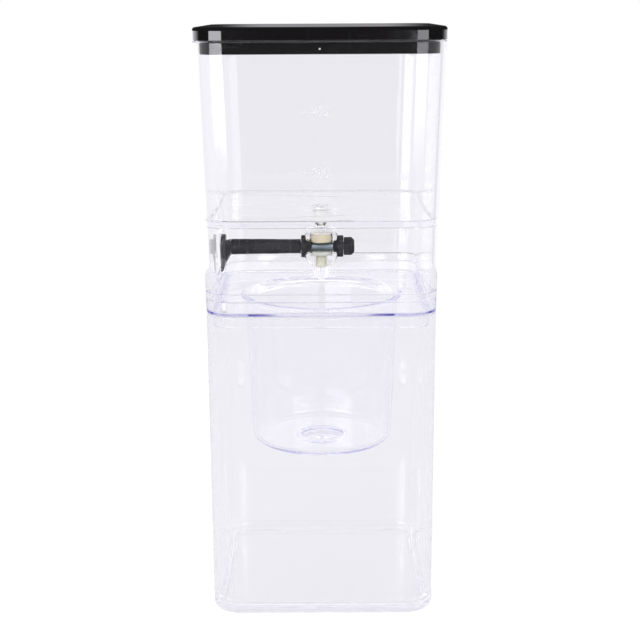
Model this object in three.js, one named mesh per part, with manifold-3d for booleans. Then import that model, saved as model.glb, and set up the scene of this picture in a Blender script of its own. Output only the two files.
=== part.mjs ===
// Square cold drip coffee maker: water tank with a drip valve, filter cup and carafe, stacked.
// Millimetres, +Z up, origin at the centre of the carafe's base, viewer on the -Y side.

import * as THREE from 'three';
import { mergeVertices } from 'three/addons/utils/BufferGeometryUtils.js';
import Module from 'manifold-3d';

const wasm = await Module();
wasm.setup();

// Driving dimensions: outline of the stack, from top to base
const topSide = 100;
const floorSide = 95.6;
const jointSide = 94.6;
const mouthSide = 94.1;
const baseSide = 93.1;
const cornerRadius = 12;
const wall = 2.2;

// Clearances: between stacked pieces, between pieces that slip together, and inside the valve
const stackGap = 0.3;
const slipGap = 0.3;
const fineGap = 0.2;

// How far a cut runs past the piece that it cuts
const overrun = 3;

// Carafe
const carafeHeight = 129;
const carafeFloor = 3;
const carafeBaseRound = 3;
const carafeInnerRound = 4;
const rimRound = 0.5;

// Filter cup and its square frame
const frameHeight = 9;
const frameRound = 0.6;
const frameInnerRound = 1.8;
const plateRise = 0.7;
const plateThickness = 2.2;
const lapRim = 0.95;
const lapDepth = 3.4;
const flangeDepth = 5.4;
const flangeThickness = 1.6;
const flangeGap = 0.6;
const cupTopRadius = 33;
const cupBottomRadius = 30.5;
const cupWall = 2;
const cupDepth = 65.1;
const cupFloor = 2;
const cupBottomRound = 4;
const cupInnerRound = 2;
const mouthRound = 2.4;
const wellRadius = 9.45;
const wellDepth = 2;
const wellFloor = 1.3;
const wellWall = 1.5;
const spoutRadius = 1.6;
const spoutRoot = 0.6;
const spoutLength = 2.4;
const dripRadius = 0.8;

// Lever, and the finger arch that leaves room for it in the skirt
const leverReach = 11.2;
const leverTipGap = 0.2;
const leverTop = 5.5;
const leverThickness = 5.7;
const leverBladeThickness = 2.9;
const leverTipThickness = 0.9;
const leverTipWidth = 9;
const gussetRise = 2.7;
const gussetDrop = 7.4;
const gussetWidth = 5;
const leverInset = 2.7;
const archGap = 1.8;
const archWeb = 2.2;

// Water tank
const tankDepth = 72.95;
const tankFloor = 2.2;
const tankInnerRound = 2.2;
const skirtInnerRound = 1.5;
const bossRadius = 7.1;
const bossDepth = 2.9;
const boreChamfer = 1;

// Lid: outer cap and inner plug
const lidHeight = 5.2;
const lidRound = 1.3;
const lidInnerRound = 0.8;
const lidTopThickness = 1.8;
const plugDepth = 4.95;
const plugGap = 0.4;
const plugWall = 1.6;
const ventRadius = 0.6;
const ventHeight = 2;

// Valve body, turned about the vertical axis
const neckRadius = 3.5;
const neckBore = 2.2;
const neckRecess = 1;
const grooveDepth = 0.75;
const grooveHeight = 1.3;
const bodyRadius = 7;
const bodyRise = 6.5;
const bodyDrop = 5;
const bodyBevel = 1.2;
const shoulderRadius = 5.3;
const shoulderDrop = 8;
const nozzleTopRadius = 4.4;
const nozzleTipRadius = 2.35;
const nozzleDrop = 14.5;
const nozzleBore = 1.3;
const flatInset = 0.4;

// Seals inside the valve body
const sealRadius = 4.3;
const sealBore = 1.1;
const upperSealHeight = 3.2;
const lowerSealHeight = 1.5;
const sleeveRadius = 2.4;
const sleeveHeight = 5;
const sleeveBore = 0.9;
const ringGap = 0.08;

// Spindle core, stem, cap and the two nuts, turned about the spindle's axis
const coreRadius = 1.9;
const coreHole = 0.8;
const socketDepth = 5;
const collarRadius = 4.85;
const collarWidth = 1.8;
const noseRadius = 4.2;
const noseTipRadius = 2.5;
const noseLength = 3.1;
const glandRadius = 4.7;
const glandWidth = 2.8;
const spigotRadius = 3.2;
const spigotLength = 0.9;
const stemRadius = 3.34;
const tangRadius = 1.6;
const tangLength = 2.2;
const capRadius = 3.93;
const capWidth = 4.5;
const capChamfer = 1.3;
const capWall = 1.8;

// Levels of the stack, from the base up
const frameZ = carafeHeight + stackGap;
const frameTopZ = frameZ + frameHeight;
const skirtZ = frameTopZ + stackGap;
const lipZ = skirtZ - lapDepth;
const spindleZ = skirtZ + leverTipGap + leverReach;
const archRadius = leverReach + archGap;
const floorUnderZ = spindleZ + archRadius + archWeb;
const floorZ = floorUnderZ + tankFloor;
const rimZ = floorUnderZ + tankDepth;
const bossZ = floorUnderZ - bossDepth;
const lidZ = rimZ + stackGap;
const lidTopZ = lidZ + lidHeight;
const ceilingZ = lidTopZ - lidTopThickness;
const plugInset = wall + plugGap;

// Levels inside the valve
const neckTopZ = floorZ - neckRecess;
const neckRingZ = (bossZ + neckTopZ) / 2;
const upperSealZ = spindleZ + coreRadius + fineGap;
const lowerSealZ = spindleZ - coreRadius - fineGap - lowerSealHeight;
const sleeveTopZ = lowerSealZ - fineGap;

// Places along the spindle, outwards from the valve's centre
const flatX = bodyRadius - flatInset;
const faceX = flatX + fineGap;
const collarX = faceX + collarWidth;
const glandX = faceX + glandWidth;
const stemX = collarX + fineGap;
const capX = glandX + fineGap;

// Smoothness
const quarter = Math.PI / 2;
const cornerSteps = 8;
const roundSteps = 3;
const turnedSides = 28;
const ringSides = 8;

// Surface finishes
const finishes = {
  clear: { color: 0xe4e4f2, roughness: 0.05, metalness: 0, transparent: true, opacity: 0.35 },
  glossBlack: { color: 0x121214, roughness: 0.12, metalness: 0 },
  mattBlack: { color: 0x26272a, roughness: 0.7, metalness: 0 },
  steel: { color: 0x9aa7b4, roughness: 0.25, metalness: 0.9 },
  cream: { color: 0xe3d6b8, roughness: 0.5, metalness: 0 },
  frosted: { color: 0xeeeee8, roughness: 0.6, metalness: 0 },
};

// Half the outer side of the stack at a height, along its drafted stretches
function outerHalf(z) {
  const stations = [
    [0, baseSide],
    [carafeHeight, mouthSide],
    [frameZ, mouthSide],
    [frameTopZ, jointSide],
    [skirtZ, jointSide],
    [floorUnderZ, floorSide],
    [rimZ, topSide],
    [lidTopZ, topSide],
  ];
  const upper = Math.max(1, stations.findIndex(([level]) => level >= z));
  const [lowZ, lowSide] = stations[upper - 1];
  const [highZ, highSide] = stations[upper];
  return (lowSide + (highSide - lowSide) * ((z - lowZ) / (highZ - lowZ))) / 2;
}

// The lever's outer face lies behind the skirt's left wall
const leverFaceX = leverInset - outerHalf(spindleZ);

// One ring of points: a square with round corners, set in from the outer wall at that height
function squareRing(inset, z) {
  const half = outerHalf(z) - inset;
  const radius = cornerRadius - inset;
  const signs = [[1, 1], [-1, 1], [-1, -1], [1, -1]];
  return signs.flatMap(([sideX, sideY], corner) => Array.from({ length: cornerSteps + 1 }, (_, step) => {
    const angle = quarter * (corner + step / cornerSteps);
    return [
      sideX * (half - radius) + radius * Math.cos(angle),
      sideY * (half - radius) + radius * Math.sin(angle),
      z,
    ];
  }));
}

// One ring of points on a circle, in step with the points of a square ring
function circleRing(radius, z) {
  const count = 4 * (cornerSteps + 1);
  return Array.from({ length: count }, (_, index) => {
    const angle = (2 * Math.PI * (index + 0.5)) / count;
    return [radius * Math.cos(angle), radius * Math.sin(angle), z];
  });
}

// Points of a round edge as [across, height], about a centre and from one quarter turn to another
function roundEdge(across, height, radius, from, to) {
  return Array.from({ length: roundSteps + 1 }, (_, step) => {
    const angle = quarter * (from + ((to - from) * step) / roundSteps);
    return [across + radius * Math.cos(angle), height + radius * Math.sin(angle)];
  });
}

// Rings from points given as [inset, height] or as [radius, height]
const squares = (points) => points.map(([inset, z]) => squareRing(inset, z));
const circles = (points) => points.map(([radius, z]) => circleRing(radius, z));

// Skin over a list of rings: endless, or filled flat at the first and last ring
function loft(rings, endless) {
  const size = rings[0].length;
  const positions = rings.flat(2);
  const index = [];
  const spans = endless ? rings.length : rings.length - 1;
  for (let span = 0; span < spans; span += 1) {
    const here = span * size;
    const next = ((span + 1) % rings.length) * size;
    for (let side = 0; side < size; side += 1) {
      const other = (side + 1) % size;
      index.push(here + side, here + other, next + other, here + side, next + other, next + side);
    }
  }
  if (!endless) {
    const last = (rings.length - 1) * size;
    const centre = rings.length * size;
    positions.push(0, 0, rings[0][0][2], 0, 0, rings.at(-1)[0][2]);
    for (let side = 0; side < size; side += 1) {
      const other = (side + 1) % size;
      index.push(centre, other, side, centre + 1, last + side, last + other);
    }
  }
  const geometry = new THREE.BufferGeometry();
  geometry.setAttribute('position', new THREE.Float32BufferAttribute(positions, 3));
  geometry.setIndex(index);
  return geometry;
}

// Geometry with shared points merged and collapsed triangles left out
function merged(geometry) {
  const bare = geometry.clone();
  bare.deleteAttribute('normal');
  bare.deleteAttribute('uv');
  const whole = mergeVertices(bare);
  const corners = Array.from(whole.index.array);
  const index = [];
  for (let start = 0; start < corners.length; start += 3) {
    const [a, b, c] = corners.slice(start, start + 3);
    if (a !== b && b !== c && c !== a) index.push(a, b, c);
  }
  whole.setIndex(index);
  return whole;
}

// Solid for joining and cutting
function solid(geometry) {
  const whole = merged(geometry);
  return new wasm.Manifold(new wasm.Mesh({
    numProp: 3,
    vertProperties: new Float32Array(whole.attributes.position.array),
    triVerts: new Uint32Array(whole.index.array),
  }));
}

// Geometry of a cut or joined solid
function shaped(body) {
  const skin = body.getMesh();
  const geometry = new THREE.BufferGeometry();
  geometry.setAttribute('position', new THREE.Float32BufferAttribute(skin.vertProperties, 3));
  geometry.setIndex(Array.from(skin.triVerts));
  return geometry;
}

// Piece turned about the Z axis: its outline of [radius, height] runs up outside and down inside
function turned(outline) {
  const points = outline.map(([radius, height]) => new THREE.Vector2(radius, height));
  if (outline[0][0] > 0) points.push(points[0].clone());
  return new THREE.LatheGeometry(points, turnedSides).rotateX(quarter);
}

// Piece turned about the spindle's axis: heights of its outline become places along X
function turnedAlongX(outline) {
  return turned(outline).rotateY(quarter).translate(0, 0, spindleZ);
}

// Plain rod along Z from one height to another
function rod(radius, from, to) {
  return turned([[0, from], [radius, from], [radius, to], [0, to]]);
}

// Ring with a round section
function sealRing(radius, section, height) {
  return turned(Array.from({ length: ringSides }, (_, side) => {
    const angle = (2 * Math.PI * side) / ringSides;
    return [radius + section * Math.cos(angle), height + section * Math.sin(angle)];
  }));
}

// Outline drawn in Y and Z, carried along X from one place to another
function carriedAlongX(shape, from, to) {
  const axes = new THREE.Matrix4().makeBasis(
    new THREE.Vector3(0, 1, 0),
    new THREE.Vector3(0, 0, 1),
    new THREE.Vector3(1, 0, 0),
  );
  const options = { depth: to - from, bevelEnabled: false, curveSegments: turnedSides };
  return new THREE.ExtrudeGeometry(shape, options).applyMatrix4(axes).translate(from, 0, 0);
}

// Outline drawn in X and Z, carried along Y over a width centred on the axis
function carriedAlongY(shape, width) {
  const options = { depth: width, bevelEnabled: false };
  return new THREE.ExtrudeGeometry(shape, options).rotateX(quarter).translate(0, width / 2, 0);
}

function part(name, geometry, finish) {
  const skin = merged(geometry);
  skin.computeVertexNormals();
  const mesh = new THREE.Mesh(skin, new THREE.MeshStandardMaterial(finishes[finish]));
  mesh.name = name;
  return mesh;
}

// Square container with a thick floor and rounded base edges
function carafe() {
  const underside = squares(roundEdge(carafeBaseRound, carafeBaseRound, carafeBaseRound, 3, 2));
  const rim = squares([
    [0, carafeHeight - rimRound],
    [rimRound, carafeHeight],
    [wall - rimRound, carafeHeight],
    [wall, carafeHeight - rimRound],
  ]);
  const inside = squares(
    roundEdge(wall + carafeInnerRound, carafeFloor + carafeInnerRound, carafeInnerRound, 2, 3),
  );
  return loft([...underside, ...rim, ...inside], false);
}

// Square frame with a round cup moulded under its plate, a drain well and a drip spout
function filterCup() {
  const plateZ = frameZ + plateRise;
  const plateUnderZ = plateZ - plateThickness;
  const bottomZ = frameZ - cupDepth;
  const insideZ = bottomZ + cupFloor;
  const wellZ = insideZ - wellDepth;
  const wellUnderZ = wellZ - wellFloor;
  const spoutZ = wellUnderZ - spoutLength;
  const flangeInset = wall + flangeGap;
  const innerTop = cupTopRadius - cupWall;
  const innerBottom = cupBottomRadius - cupWall;
  const well = circles([
    [spoutRadius, spoutZ],
    [spoutRadius + spoutRoot, wellUnderZ],
    [wellRadius + wellWall, wellUnderZ],
    [wellRadius + wellWall, bottomZ],
  ]);
  const cupOutside = circles([
    ...roundEdge(cupBottomRadius - cupBottomRound, bottomZ + cupBottomRound, cupBottomRound, 3, 4),
    ...roundEdge(cupTopRadius + mouthRound, plateUnderZ - mouthRound, mouthRound, 2, 1),
  ]);
  const frame = squares([
    [flangeInset + flangeThickness, plateUnderZ],
    [flangeInset + flangeThickness, frameZ - flangeDepth],
    [flangeInset, frameZ - flangeDepth],
    [flangeInset, frameZ],
    [frameRound, frameZ],
    [0, frameZ + frameRound],
    [0, frameTopZ],
    [lapRim, frameTopZ],
    [lapRim, lipZ - stackGap],
    [wall, lipZ - stackGap],
    ...roundEdge(wall + frameInnerRound, plateZ + frameInnerRound, frameInnerRound, 2, 3),
  ]);
  const cupInside = circles([
    ...roundEdge(innerTop + mouthRound, plateZ - mouthRound, mouthRound, 1, 2),
    ...roundEdge(innerBottom - cupInnerRound, insideZ + cupInnerRound, cupInnerRound, 0, -1),
    [wellRadius, insideZ],
    [wellRadius, wellZ],
    [dripRadius, wellZ],
    [dripRadius, spoutZ],
  ]);
  return loft([...well, ...cupOutside, ...frame, ...cupInside], true);
}

// Square tank whose walls run on below its floor as a skirt, with a boss for the valve
function waterTank() {
  const boreRadius = neckRadius + fineGap;
  const outside = squares([
    [lapRim + slipGap, lipZ],
    [lapRim + slipGap, skirtZ],
    [0, skirtZ],
    [0, floorUnderZ],
    [0, rimZ - rimRound],
    [rimRound, rimZ],
    [wall - rimRound, rimZ],
    [wall, rimZ - rimRound],
    ...roundEdge(wall + tankInnerRound, floorZ + tankInnerRound, tankInnerRound, 2, 3),
  ]);
  const bore = circles([
    [bossRadius, floorZ],
    [boreRadius + boreChamfer, floorZ],
    [boreRadius, floorZ - boreChamfer],
    [boreRadius, bossZ],
    [bossRadius, bossZ],
    [bossRadius, floorUnderZ],
  ]);
  const skirt = squares([
    ...roundEdge(wall + skirtInnerRound, floorUnderZ - skirtInnerRound, skirtInnerRound, 1, 2),
    [wall, lipZ],
  ]);
  return shaped(solid(loft([...outside, ...bore, ...skirt], true)).subtract(solid(fingerArch())));
}

// Arched opening in the left skirt wall, round the lever's swing
function fingerArch() {
  const shape = new THREE.Shape();
  shape.moveTo(-archRadius, lipZ - overrun);
  shape.lineTo(archRadius, lipZ - overrun);
  shape.lineTo(archRadius, spindleZ);
  shape.absarc(0, spindleZ, archRadius, 0, Math.PI, false);
  return carriedAlongX(shape, -floorSide / 2 - overrun, -jointSide / 2 + wall + overrun);
}

// Shallow black cap that stands on the tank's rim
function lidCap() {
  const inset = plugInset - fineGap;
  const ceiling = squares([[inset + lidInnerRound, ceilingZ], [inset, ceilingZ - lidInnerRound]]);
  const rim = squares([[inset, lidZ], [0, lidZ]]);
  const top = squares(roundEdge(lidRound, lidTopZ - lidRound, lidRound, 2, 1));
  return loft([...ceiling, ...rim, ...top], false);
}

// Open-bottomed plug that snaps into the cap and reaches into the tank, with an air vent at the front
function lidPlug() {
  const topZ = ceilingZ - fineGap;
  const bottomZ = rimZ - plugDepth;
  const inside = squares([[plugInset + plugWall, topZ - plugWall], [plugInset + plugWall, bottomZ]]);
  const outside = squares([
    [plugInset, bottomZ],
    [plugInset, rimZ],
    [plugInset, topZ - lidInnerRound],
    [plugInset + lidInnerRound, topZ],
  ]);
  const vent = rod(ventRadius, 0, topSide / 2 + overrun).rotateX(quarter);
  vent.translate(0, 0, bottomZ + ventHeight);
  return shaped(solid(loft([...inside, ...outside], false)).subtract(solid(vent)));
}

// Clear body: neck, chamber for the seals and tapered nozzle, crossed by the spindle's bore
function valveBody() {
  const topZ = spindleZ + bodyRise;
  const bottomZ = spindleZ - bodyDrop;
  const tipZ = spindleZ - nozzleDrop;
  const grooveBottomZ = neckRingZ - grooveHeight / 2;
  const chamberRadius = sealRadius + fineGap;
  const pocketRadius = sleeveRadius + fineGap;
  const pocketZ = sleeveTopZ - sleeveHeight - fineGap;
  const outline = [
    [nozzleBore, tipZ],
    [nozzleTipRadius, tipZ],
    [nozzleTopRadius, spindleZ - shoulderDrop],
    [shoulderRadius, spindleZ - shoulderDrop],
    [bodyRadius, bottomZ],
    [bodyRadius, topZ - bodyBevel],
    [bodyRadius - bodyBevel, topZ],
    [neckRadius, topZ],
    [neckRadius, grooveBottomZ],
    [neckRadius - grooveDepth, grooveBottomZ],
    [neckRadius - grooveDepth, grooveBottomZ + grooveHeight],
    [neckRadius, grooveBottomZ + grooveHeight],
    [neckRadius, neckTopZ],
    [neckBore, neckTopZ],
    [neckBore, upperSealZ + upperSealHeight + fineGap],
    [chamberRadius, upperSealZ + upperSealHeight + fineGap],
    [chamberRadius, lowerSealZ - fineGap],
    [pocketRadius, lowerSealZ - fineGap],
    [pocketRadius, pocketZ],
    [nozzleBore, pocketZ],
  ];
  return shaped(solid(turned(outline)).subtract(solid(crossBore())));
}

// Everything cut through the body along the spindle: flats, nose seat, core bore and spigot bore
function crossBore() {
  const end = bodyRadius + overrun;
  const flatRadius = Math.max(collarRadius, glandRadius) + slipGap;
  const noseEnd = faceX - noseLength - fineGap;
  return turnedAlongX([
    [0, -end],
    [flatRadius, -end],
    [flatRadius, -flatX],
    [noseRadius + fineGap, -flatX],
    [noseTipRadius + fineGap, -noseEnd],
    [coreRadius + fineGap, -noseEnd],
    [coreRadius + fineGap, sealRadius + ringGap],
    [spigotRadius + fineGap, sealRadius + ringGap],
    [spigotRadius + fineGap, flatX],
    [flatRadius, flatX],
    [flatRadius, end],
    [0, end],
  ]);
}

// Soft disc seal above or below the spindle, with a water hole, hollowed round the spindle's nose
function discSeal(bottomZ, height) {
  const disc = turned([
    [sealBore, bottomZ],
    [sealRadius, bottomZ],
    [sealRadius, bottomZ + height],
    [sealBore, bottomZ + height],
  ]);
  return shaped(solid(disc).subtract(solid(crossBore())));
}

function outletSleeve() {
  const bottomZ = sleeveTopZ - sleeveHeight;
  return turned([
    [sleeveBore, bottomZ],
    [sleeveRadius, bottomZ],
    [sleeveRadius, sleeveTopZ],
    [sleeveBore, sleeveTopZ],
  ]);
}

// Nut at the lever's side, with a conical nose that seats in the body
function packingNut() {
  return turnedAlongX([
    [coreRadius + fineGap, -collarX],
    [collarRadius, -collarX],
    [collarRadius, -faceX],
    [noseRadius, -faceX],
    [noseTipRadius, noseLength - faceX],
    [coreRadius + fineGap, noseLength - faceX],
  ]);
}

// Nut at the far side, with a spigot that presses the spindle's ring
function glandNut() {
  return turnedAlongX([
    [coreRadius + fineGap, faceX - spigotLength],
    [spigotRadius, faceX - spigotLength],
    [spigotRadius, faceX],
    [glandRadius, faceX],
    [glandRadius, glandX],
    [coreRadius + fineGap, glandX],
  ]);
}

function neckRing() {
  const section = (grooveDepth + fineGap) / 2 - ringGap;
  return sealRing(neckRadius - grooveDepth + ringGap + section, section, neckRingZ);
}

function spindleRing() {
  const section = (spigotRadius - coreRadius) / 2 - ringGap;
  const place = faceX - spigotLength - ringGap - section;
  const ring = sealRing(coreRadius + ringGap + section, section, place);
  return ring.rotateY(quarter).translate(0, 0, spindleZ);
}

// Metal rod through the body, cross drilled for the water
function spindleCore() {
  const from = -stemX - socketDepth + fineGap;
  const to = capX + capWidth - capWall - fineGap;
  const bar = turnedAlongX([[0, from], [coreRadius, from], [coreRadius, to], [0, to]]);
  const hole = rod(coreHole, spindleZ - bodyRadius, spindleZ + bodyRadius);
  return shaped(solid(bar).subtract(solid(hole)));
}

// Black stem from the packing nut to the lever, socketed for the core, with a tang for the lever
function stem() {
  const from = leverFaceX + leverThickness + fineGap;
  return turnedAlongX([
    [0, from - fineGap - tangLength],
    [tangRadius, from - fineGap - tangLength],
    [tangRadius, from],
    [stemRadius, from],
    [stemRadius, -stemX],
    [coreRadius + fineGap, -stemX],
    [coreRadius + fineGap, -stemX - socketDepth],
    [0, -stemX - socketDepth],
  ]);
}

function endCap() {
  return turnedAlongX([
    [coreRadius + fineGap, capX],
    [capRadius, capX],
    [capRadius, capX + capWidth - capChamfer],
    [capRadius - capChamfer, capX + capWidth],
    [0, capX + capWidth],
    [0, capX + capWidth - capWall],
    [coreRadius + fineGap, capX + capWidth - capWall],
  ]);
}

// Thumb lever: thin round-topped blade that thins to its tip, and a gusset that joins it to the stem
function lever() {
  const tipHalf = leverTipWidth / 2;
  const tipAngle = Math.asin(tipHalf / leverReach);
  const front = new THREE.Shape();
  front.moveTo(leverTop, spindleZ);
  front.absarc(0, spindleZ, leverTop, 0, Math.PI, false);
  front.lineTo(-tipHalf, spindleZ - leverReach * Math.cos(tipAngle));
  front.absarc(0, spindleZ, leverReach, 3 * quarter - tipAngle, 3 * quarter + tipAngle, false);
  front.closePath();
  const bladeX = leverFaceX + leverBladeThickness;
  const side = new THREE.Shape();
  side.moveTo(leverFaceX, spindleZ + leverTop + overrun);
  side.lineTo(leverFaceX, spindleZ - leverReach - overrun);
  side.lineTo(leverFaceX + leverTipThickness, spindleZ - leverReach - overrun);
  side.lineTo(leverFaceX + leverTipThickness, spindleZ - leverReach);
  side.lineTo(bladeX, spindleZ - gussetDrop);
  side.lineTo(bladeX, spindleZ + leverTop + overrun);
  side.closePath();
  const innerX = leverFaceX + leverThickness;
  const gusset = new THREE.Shape();
  gusset.moveTo(leverFaceX, spindleZ + gussetRise);
  gusset.lineTo(leverFaceX, spindleZ - gussetDrop);
  gusset.lineTo(bladeX, spindleZ - gussetDrop);
  gusset.lineTo(innerX, spindleZ - stemRadius);
  gusset.lineTo(innerX, spindleZ + stemRadius);
  gusset.lineTo(bladeX, spindleZ + gussetRise);
  gusset.closePath();
  const socket = turnedAlongX([
    [0, innerX - tangLength - fineGap],
    [tangRadius + fineGap, innerX - tangLength - fineGap],
    [tangRadius + fineGap, innerX + overrun],
    [0, innerX + overrun],
  ]);
  const outline = solid(carriedAlongX(front, leverFaceX - overrun, bladeX + overrun));
  const blade = outline.intersect(solid(carriedAlongY(side, 4 * leverTop)));
  return shaped(blade.add(solid(carriedAlongY(gusset, gussetWidth))).subtract(solid(socket)));
}

function assembly(...members) {
  const group = new THREE.Group();
  group.add(...members);
  return group;
}

const spindle = assembly(
  part('spindle_core', spindleCore(), 'steel'),
  part('stem', stem(), 'mattBlack'),
  part('lever', lever(), 'mattBlack'),
  part('end_cap', endCap(), 'mattBlack'),
);

const valve = assembly(
  part('valve_body', valveBody(), 'clear'),
  part('neck_ring', neckRing(), 'mattBlack'),
  part('upper_seal', discSeal(upperSealZ, upperSealHeight), 'cream'),
  part('lower_seal', discSeal(lowerSealZ, lowerSealHeight), 'frosted'),
  part('outlet_sleeve', outletSleeve(), 'cream'),
  part('packing_nut', packingNut(), 'mattBlack'),
  part('gland_nut', glandNut(), 'mattBlack'),
  part('spindle_ring', spindleRing(), 'mattBlack'),
);

const lid = assembly(
  part('lid_cap', lidCap(), 'glossBlack'),
  part('lid_plug', lidPlug(), 'glossBlack'),
);

const tank = assembly(part('water_tank', waterTank(), 'clear'), valve, spindle, lid);
const cup = assembly(part('filter_cup', filterCup(), 'clear'), tank);

export default assembly(part('carafe', carafe(), 'clear'), cup);
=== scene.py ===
"""Cold drip coffee maker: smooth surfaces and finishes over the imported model, with a small studio.

The stack stands at the origin, in metres, and the viewer is on the -Y side. Every moulded wall is
one closed surface: an outline of the wall's section carried round a square with round corners, or
round a circle where a flat stretch joins the two.
"""

import math

import bmesh
import bpy
import numpy as np
from bpy.props import FloatProperty, FloatVectorProperty, PointerProperty
from mathutils import Matrix, Vector


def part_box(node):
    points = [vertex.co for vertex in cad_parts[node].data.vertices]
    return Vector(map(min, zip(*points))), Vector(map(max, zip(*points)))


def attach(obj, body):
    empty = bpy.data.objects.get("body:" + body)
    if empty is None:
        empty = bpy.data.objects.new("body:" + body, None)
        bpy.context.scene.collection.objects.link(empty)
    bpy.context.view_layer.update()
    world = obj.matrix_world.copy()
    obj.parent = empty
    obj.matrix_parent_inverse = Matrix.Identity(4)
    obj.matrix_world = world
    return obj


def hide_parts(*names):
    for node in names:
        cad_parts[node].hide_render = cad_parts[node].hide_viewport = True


bl_info = {
    "name": "Cold drip coffee maker",
    "version": (1, 0, 0),
    "blender": (4, 5, 0),
    "location": "View3D > Sidebar > Coffee maker",
    "description": "Builds the moulded shells, valve, lever and lid of a stacked cold drip coffee maker",
    "category": "Add Mesh",
}

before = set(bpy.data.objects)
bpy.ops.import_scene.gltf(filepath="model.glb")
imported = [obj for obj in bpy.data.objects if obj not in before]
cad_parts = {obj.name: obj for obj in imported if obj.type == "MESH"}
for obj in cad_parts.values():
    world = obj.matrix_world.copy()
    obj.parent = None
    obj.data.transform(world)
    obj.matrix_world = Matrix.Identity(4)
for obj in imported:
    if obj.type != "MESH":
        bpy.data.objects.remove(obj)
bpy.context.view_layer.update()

MM = 0.001
QUARTER = math.pi / 2
X_AXIS, Z_AXIS = 0, 2

# Edges sharper than this keep their crease, and points nearer than this are one
SHARP = math.radians(32)
MERGED = 1e-7

# Steps round an upright corner, and columns round the turned pieces and holes
CORNER_STEPS, CUP_CORNER_STEPS = 18, 20
BODY_COLUMNS, NUT_COLUMNS, SEAL_COLUMNS, SLEEVE_COLUMNS = 72, 64, 56, 48
SOCKET_COLUMNS, HOLE_COLUMNS, VENT_COLUMNS = 40, 32, 24

# Refraction of the clear shells, the valve, the lid's cap, its plug and the textured plastic
SHELL_IOR, VALVE_IOR, CAP_IOR, PLUG_IOR, TEXTURED_IOR = 1.50, 1.16, 1.70, 1.38, 1.42

# A ray that still runs in clear walls after so many turns counts as caught, and the walls give it a painted glow
CAUGHT_TURNS = 28


def span(node, axis):
    """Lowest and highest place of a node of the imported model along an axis."""
    low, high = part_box(node)
    return float(low[axis]), float(high[axis])


CARAFE_TOP, CUP_TOP, BODY_TOP = (span(node, Z_AXIS)[1] for node in ("carafe", "filter_cup", "valve_body"))
TANK_FOOT, TANK_RIM = span("water_tank", Z_AXIS)
LID_FOOT, LID_TOP = span("lid_cap", Z_AXIS)
PLUG_FOOT, PLUG_TOP = span("lid_plug", Z_AXIS)
CORE_LEFT, CORE_RIGHT = span("spindle_core", X_AXIS)
STEM_LEFT, STEM_RIGHT = span("stem", X_AXIS)
LEVER_FACE, LEVER_INNER = span("lever", X_AXIS)
CAP_LEFT, CAP_RIGHT = span("end_cap", X_AXIS)
SPINDLE_Z = sum(span("stem", Z_AXIS)) / 2


def length(label, millimetres, description):
    return FloatProperty(
        name=label, description=description, default=float(millimetres) * MM, min=0.0,
        precision=5, subtype="DISTANCE", unit="LENGTH",
    )


def level(label, metres, description):
    return FloatProperty(
        name=label, description=description, default=float(metres), precision=5,
        subtype="DISTANCE", unit="LENGTH",
    )


def tint(label, rgb, description):
    return FloatVectorProperty(
        name=label, description=description, default=rgb, size=3, min=0.0, max=1.0, subtype="COLOR",
    )


def amount(label, value, description, top=1.0):
    return FloatProperty(name=label, description=description, default=value, min=0.0, max=top)


class StackSizes(bpy.types.PropertyGroup):
    top_side: level("Top side", 2 * span("water_tank", X_AXIS)[1], "Outer side of the tank at its rim")
    floor_side: length("Floor side", 95.6, "Outer side at the underside of the tank's floor")
    joint_side: length("Joint side", 94.6, "Outer side where tank and frame meet")
    mouth_side: length("Mouth side", 94.1, "Outer side of the carafe at its mouth")
    base_side: length("Base side", 93.1, "Outer side of the carafe at its base")
    corner_radius: length("Corner radius", 12, "Outer radius of the four upright corners")
    wall: length("Wall", 2.2, "Thickness of the moulded walls")
    soft_edge: length("Soft edge", 0.18, "Radius left by the mould on plain edges")
    rim_round: length("Rim round", 0.5, "Radius on the rims of tank and carafe")
    stack_gap: length("Stack gap", 0.3, "Gap between stacked pieces")


class CarafeSizes(bpy.types.PropertyGroup):
    floor: length("Floor", 3, "Thickness of the carafe's floor")
    base_round: length("Base round", 3, "Radius round the outer base edge")
    inner_round: length("Inner round", 4, "Radius where floor and wall meet inside")


class CupSizes(bpy.types.PropertyGroup):
    plate: length("Plate", 2.2, "Thickness of the plate that carries the cup")
    plate_rise: length("Plate rise", 0.7, "Height of the plate's top above the frame's foot")
    inner_round: length("Frame inner round", 0.8, "Radius where frame and plate meet inside")
    lap_rim: length("Lap rim", 0.95, "Thickness of the thin outer rim of the joint")
    flange_inset: length("Flange inset", 2.8, "Distance from the outer wall to the flange")
    flange_thickness: length("Flange thickness", 1.6, "Thickness of the flange in the carafe")
    flange_depth: length("Flange depth", 5.4, "Depth of the flange below the frame")
    top_radius: length("Cup top radius", 33, "Outer radius of the cup at its mouth")
    bottom_radius: length("Cup bottom radius", 30.5, "Outer radius of the cup at its floor")
    cup_wall: length("Cup wall", 2, "Thickness of the cup's wall")
    cup_depth: length("Cup depth", 65.1, "Depth of the cup below the frame")
    cup_floor: length("Cup floor", 2, "Thickness of the cup's floor")
    bottom_round: length("Cup bottom round", 4, "Outer radius round the cup's floor")
    floor_round: length("Cup floor round", 2, "Inner radius round the cup's floor")
    mouth_round: length("Mouth round", 3.0, "Radius of the cup's mouth")
    well_radius: length("Well radius", 9.45, "Radius of the drain well")
    well_depth: length("Well depth", 2, "Depth of the drain well")
    well_floor: length("Well floor", 1.3, "Thickness under the well")
    well_wall: length("Well wall", 1.5, "Thickness round the well")
    spout_radius: length("Spout radius", 1.6, "Outer radius of the spout's tip")
    spout_root: length("Spout root", 0.6, "How much wider the spout is at its root")
    spout_length: length("Spout length", 2.4, "Length of the spout")
    drip_radius: length("Drip radius", 0.8, "Radius of the drip hole")


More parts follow.
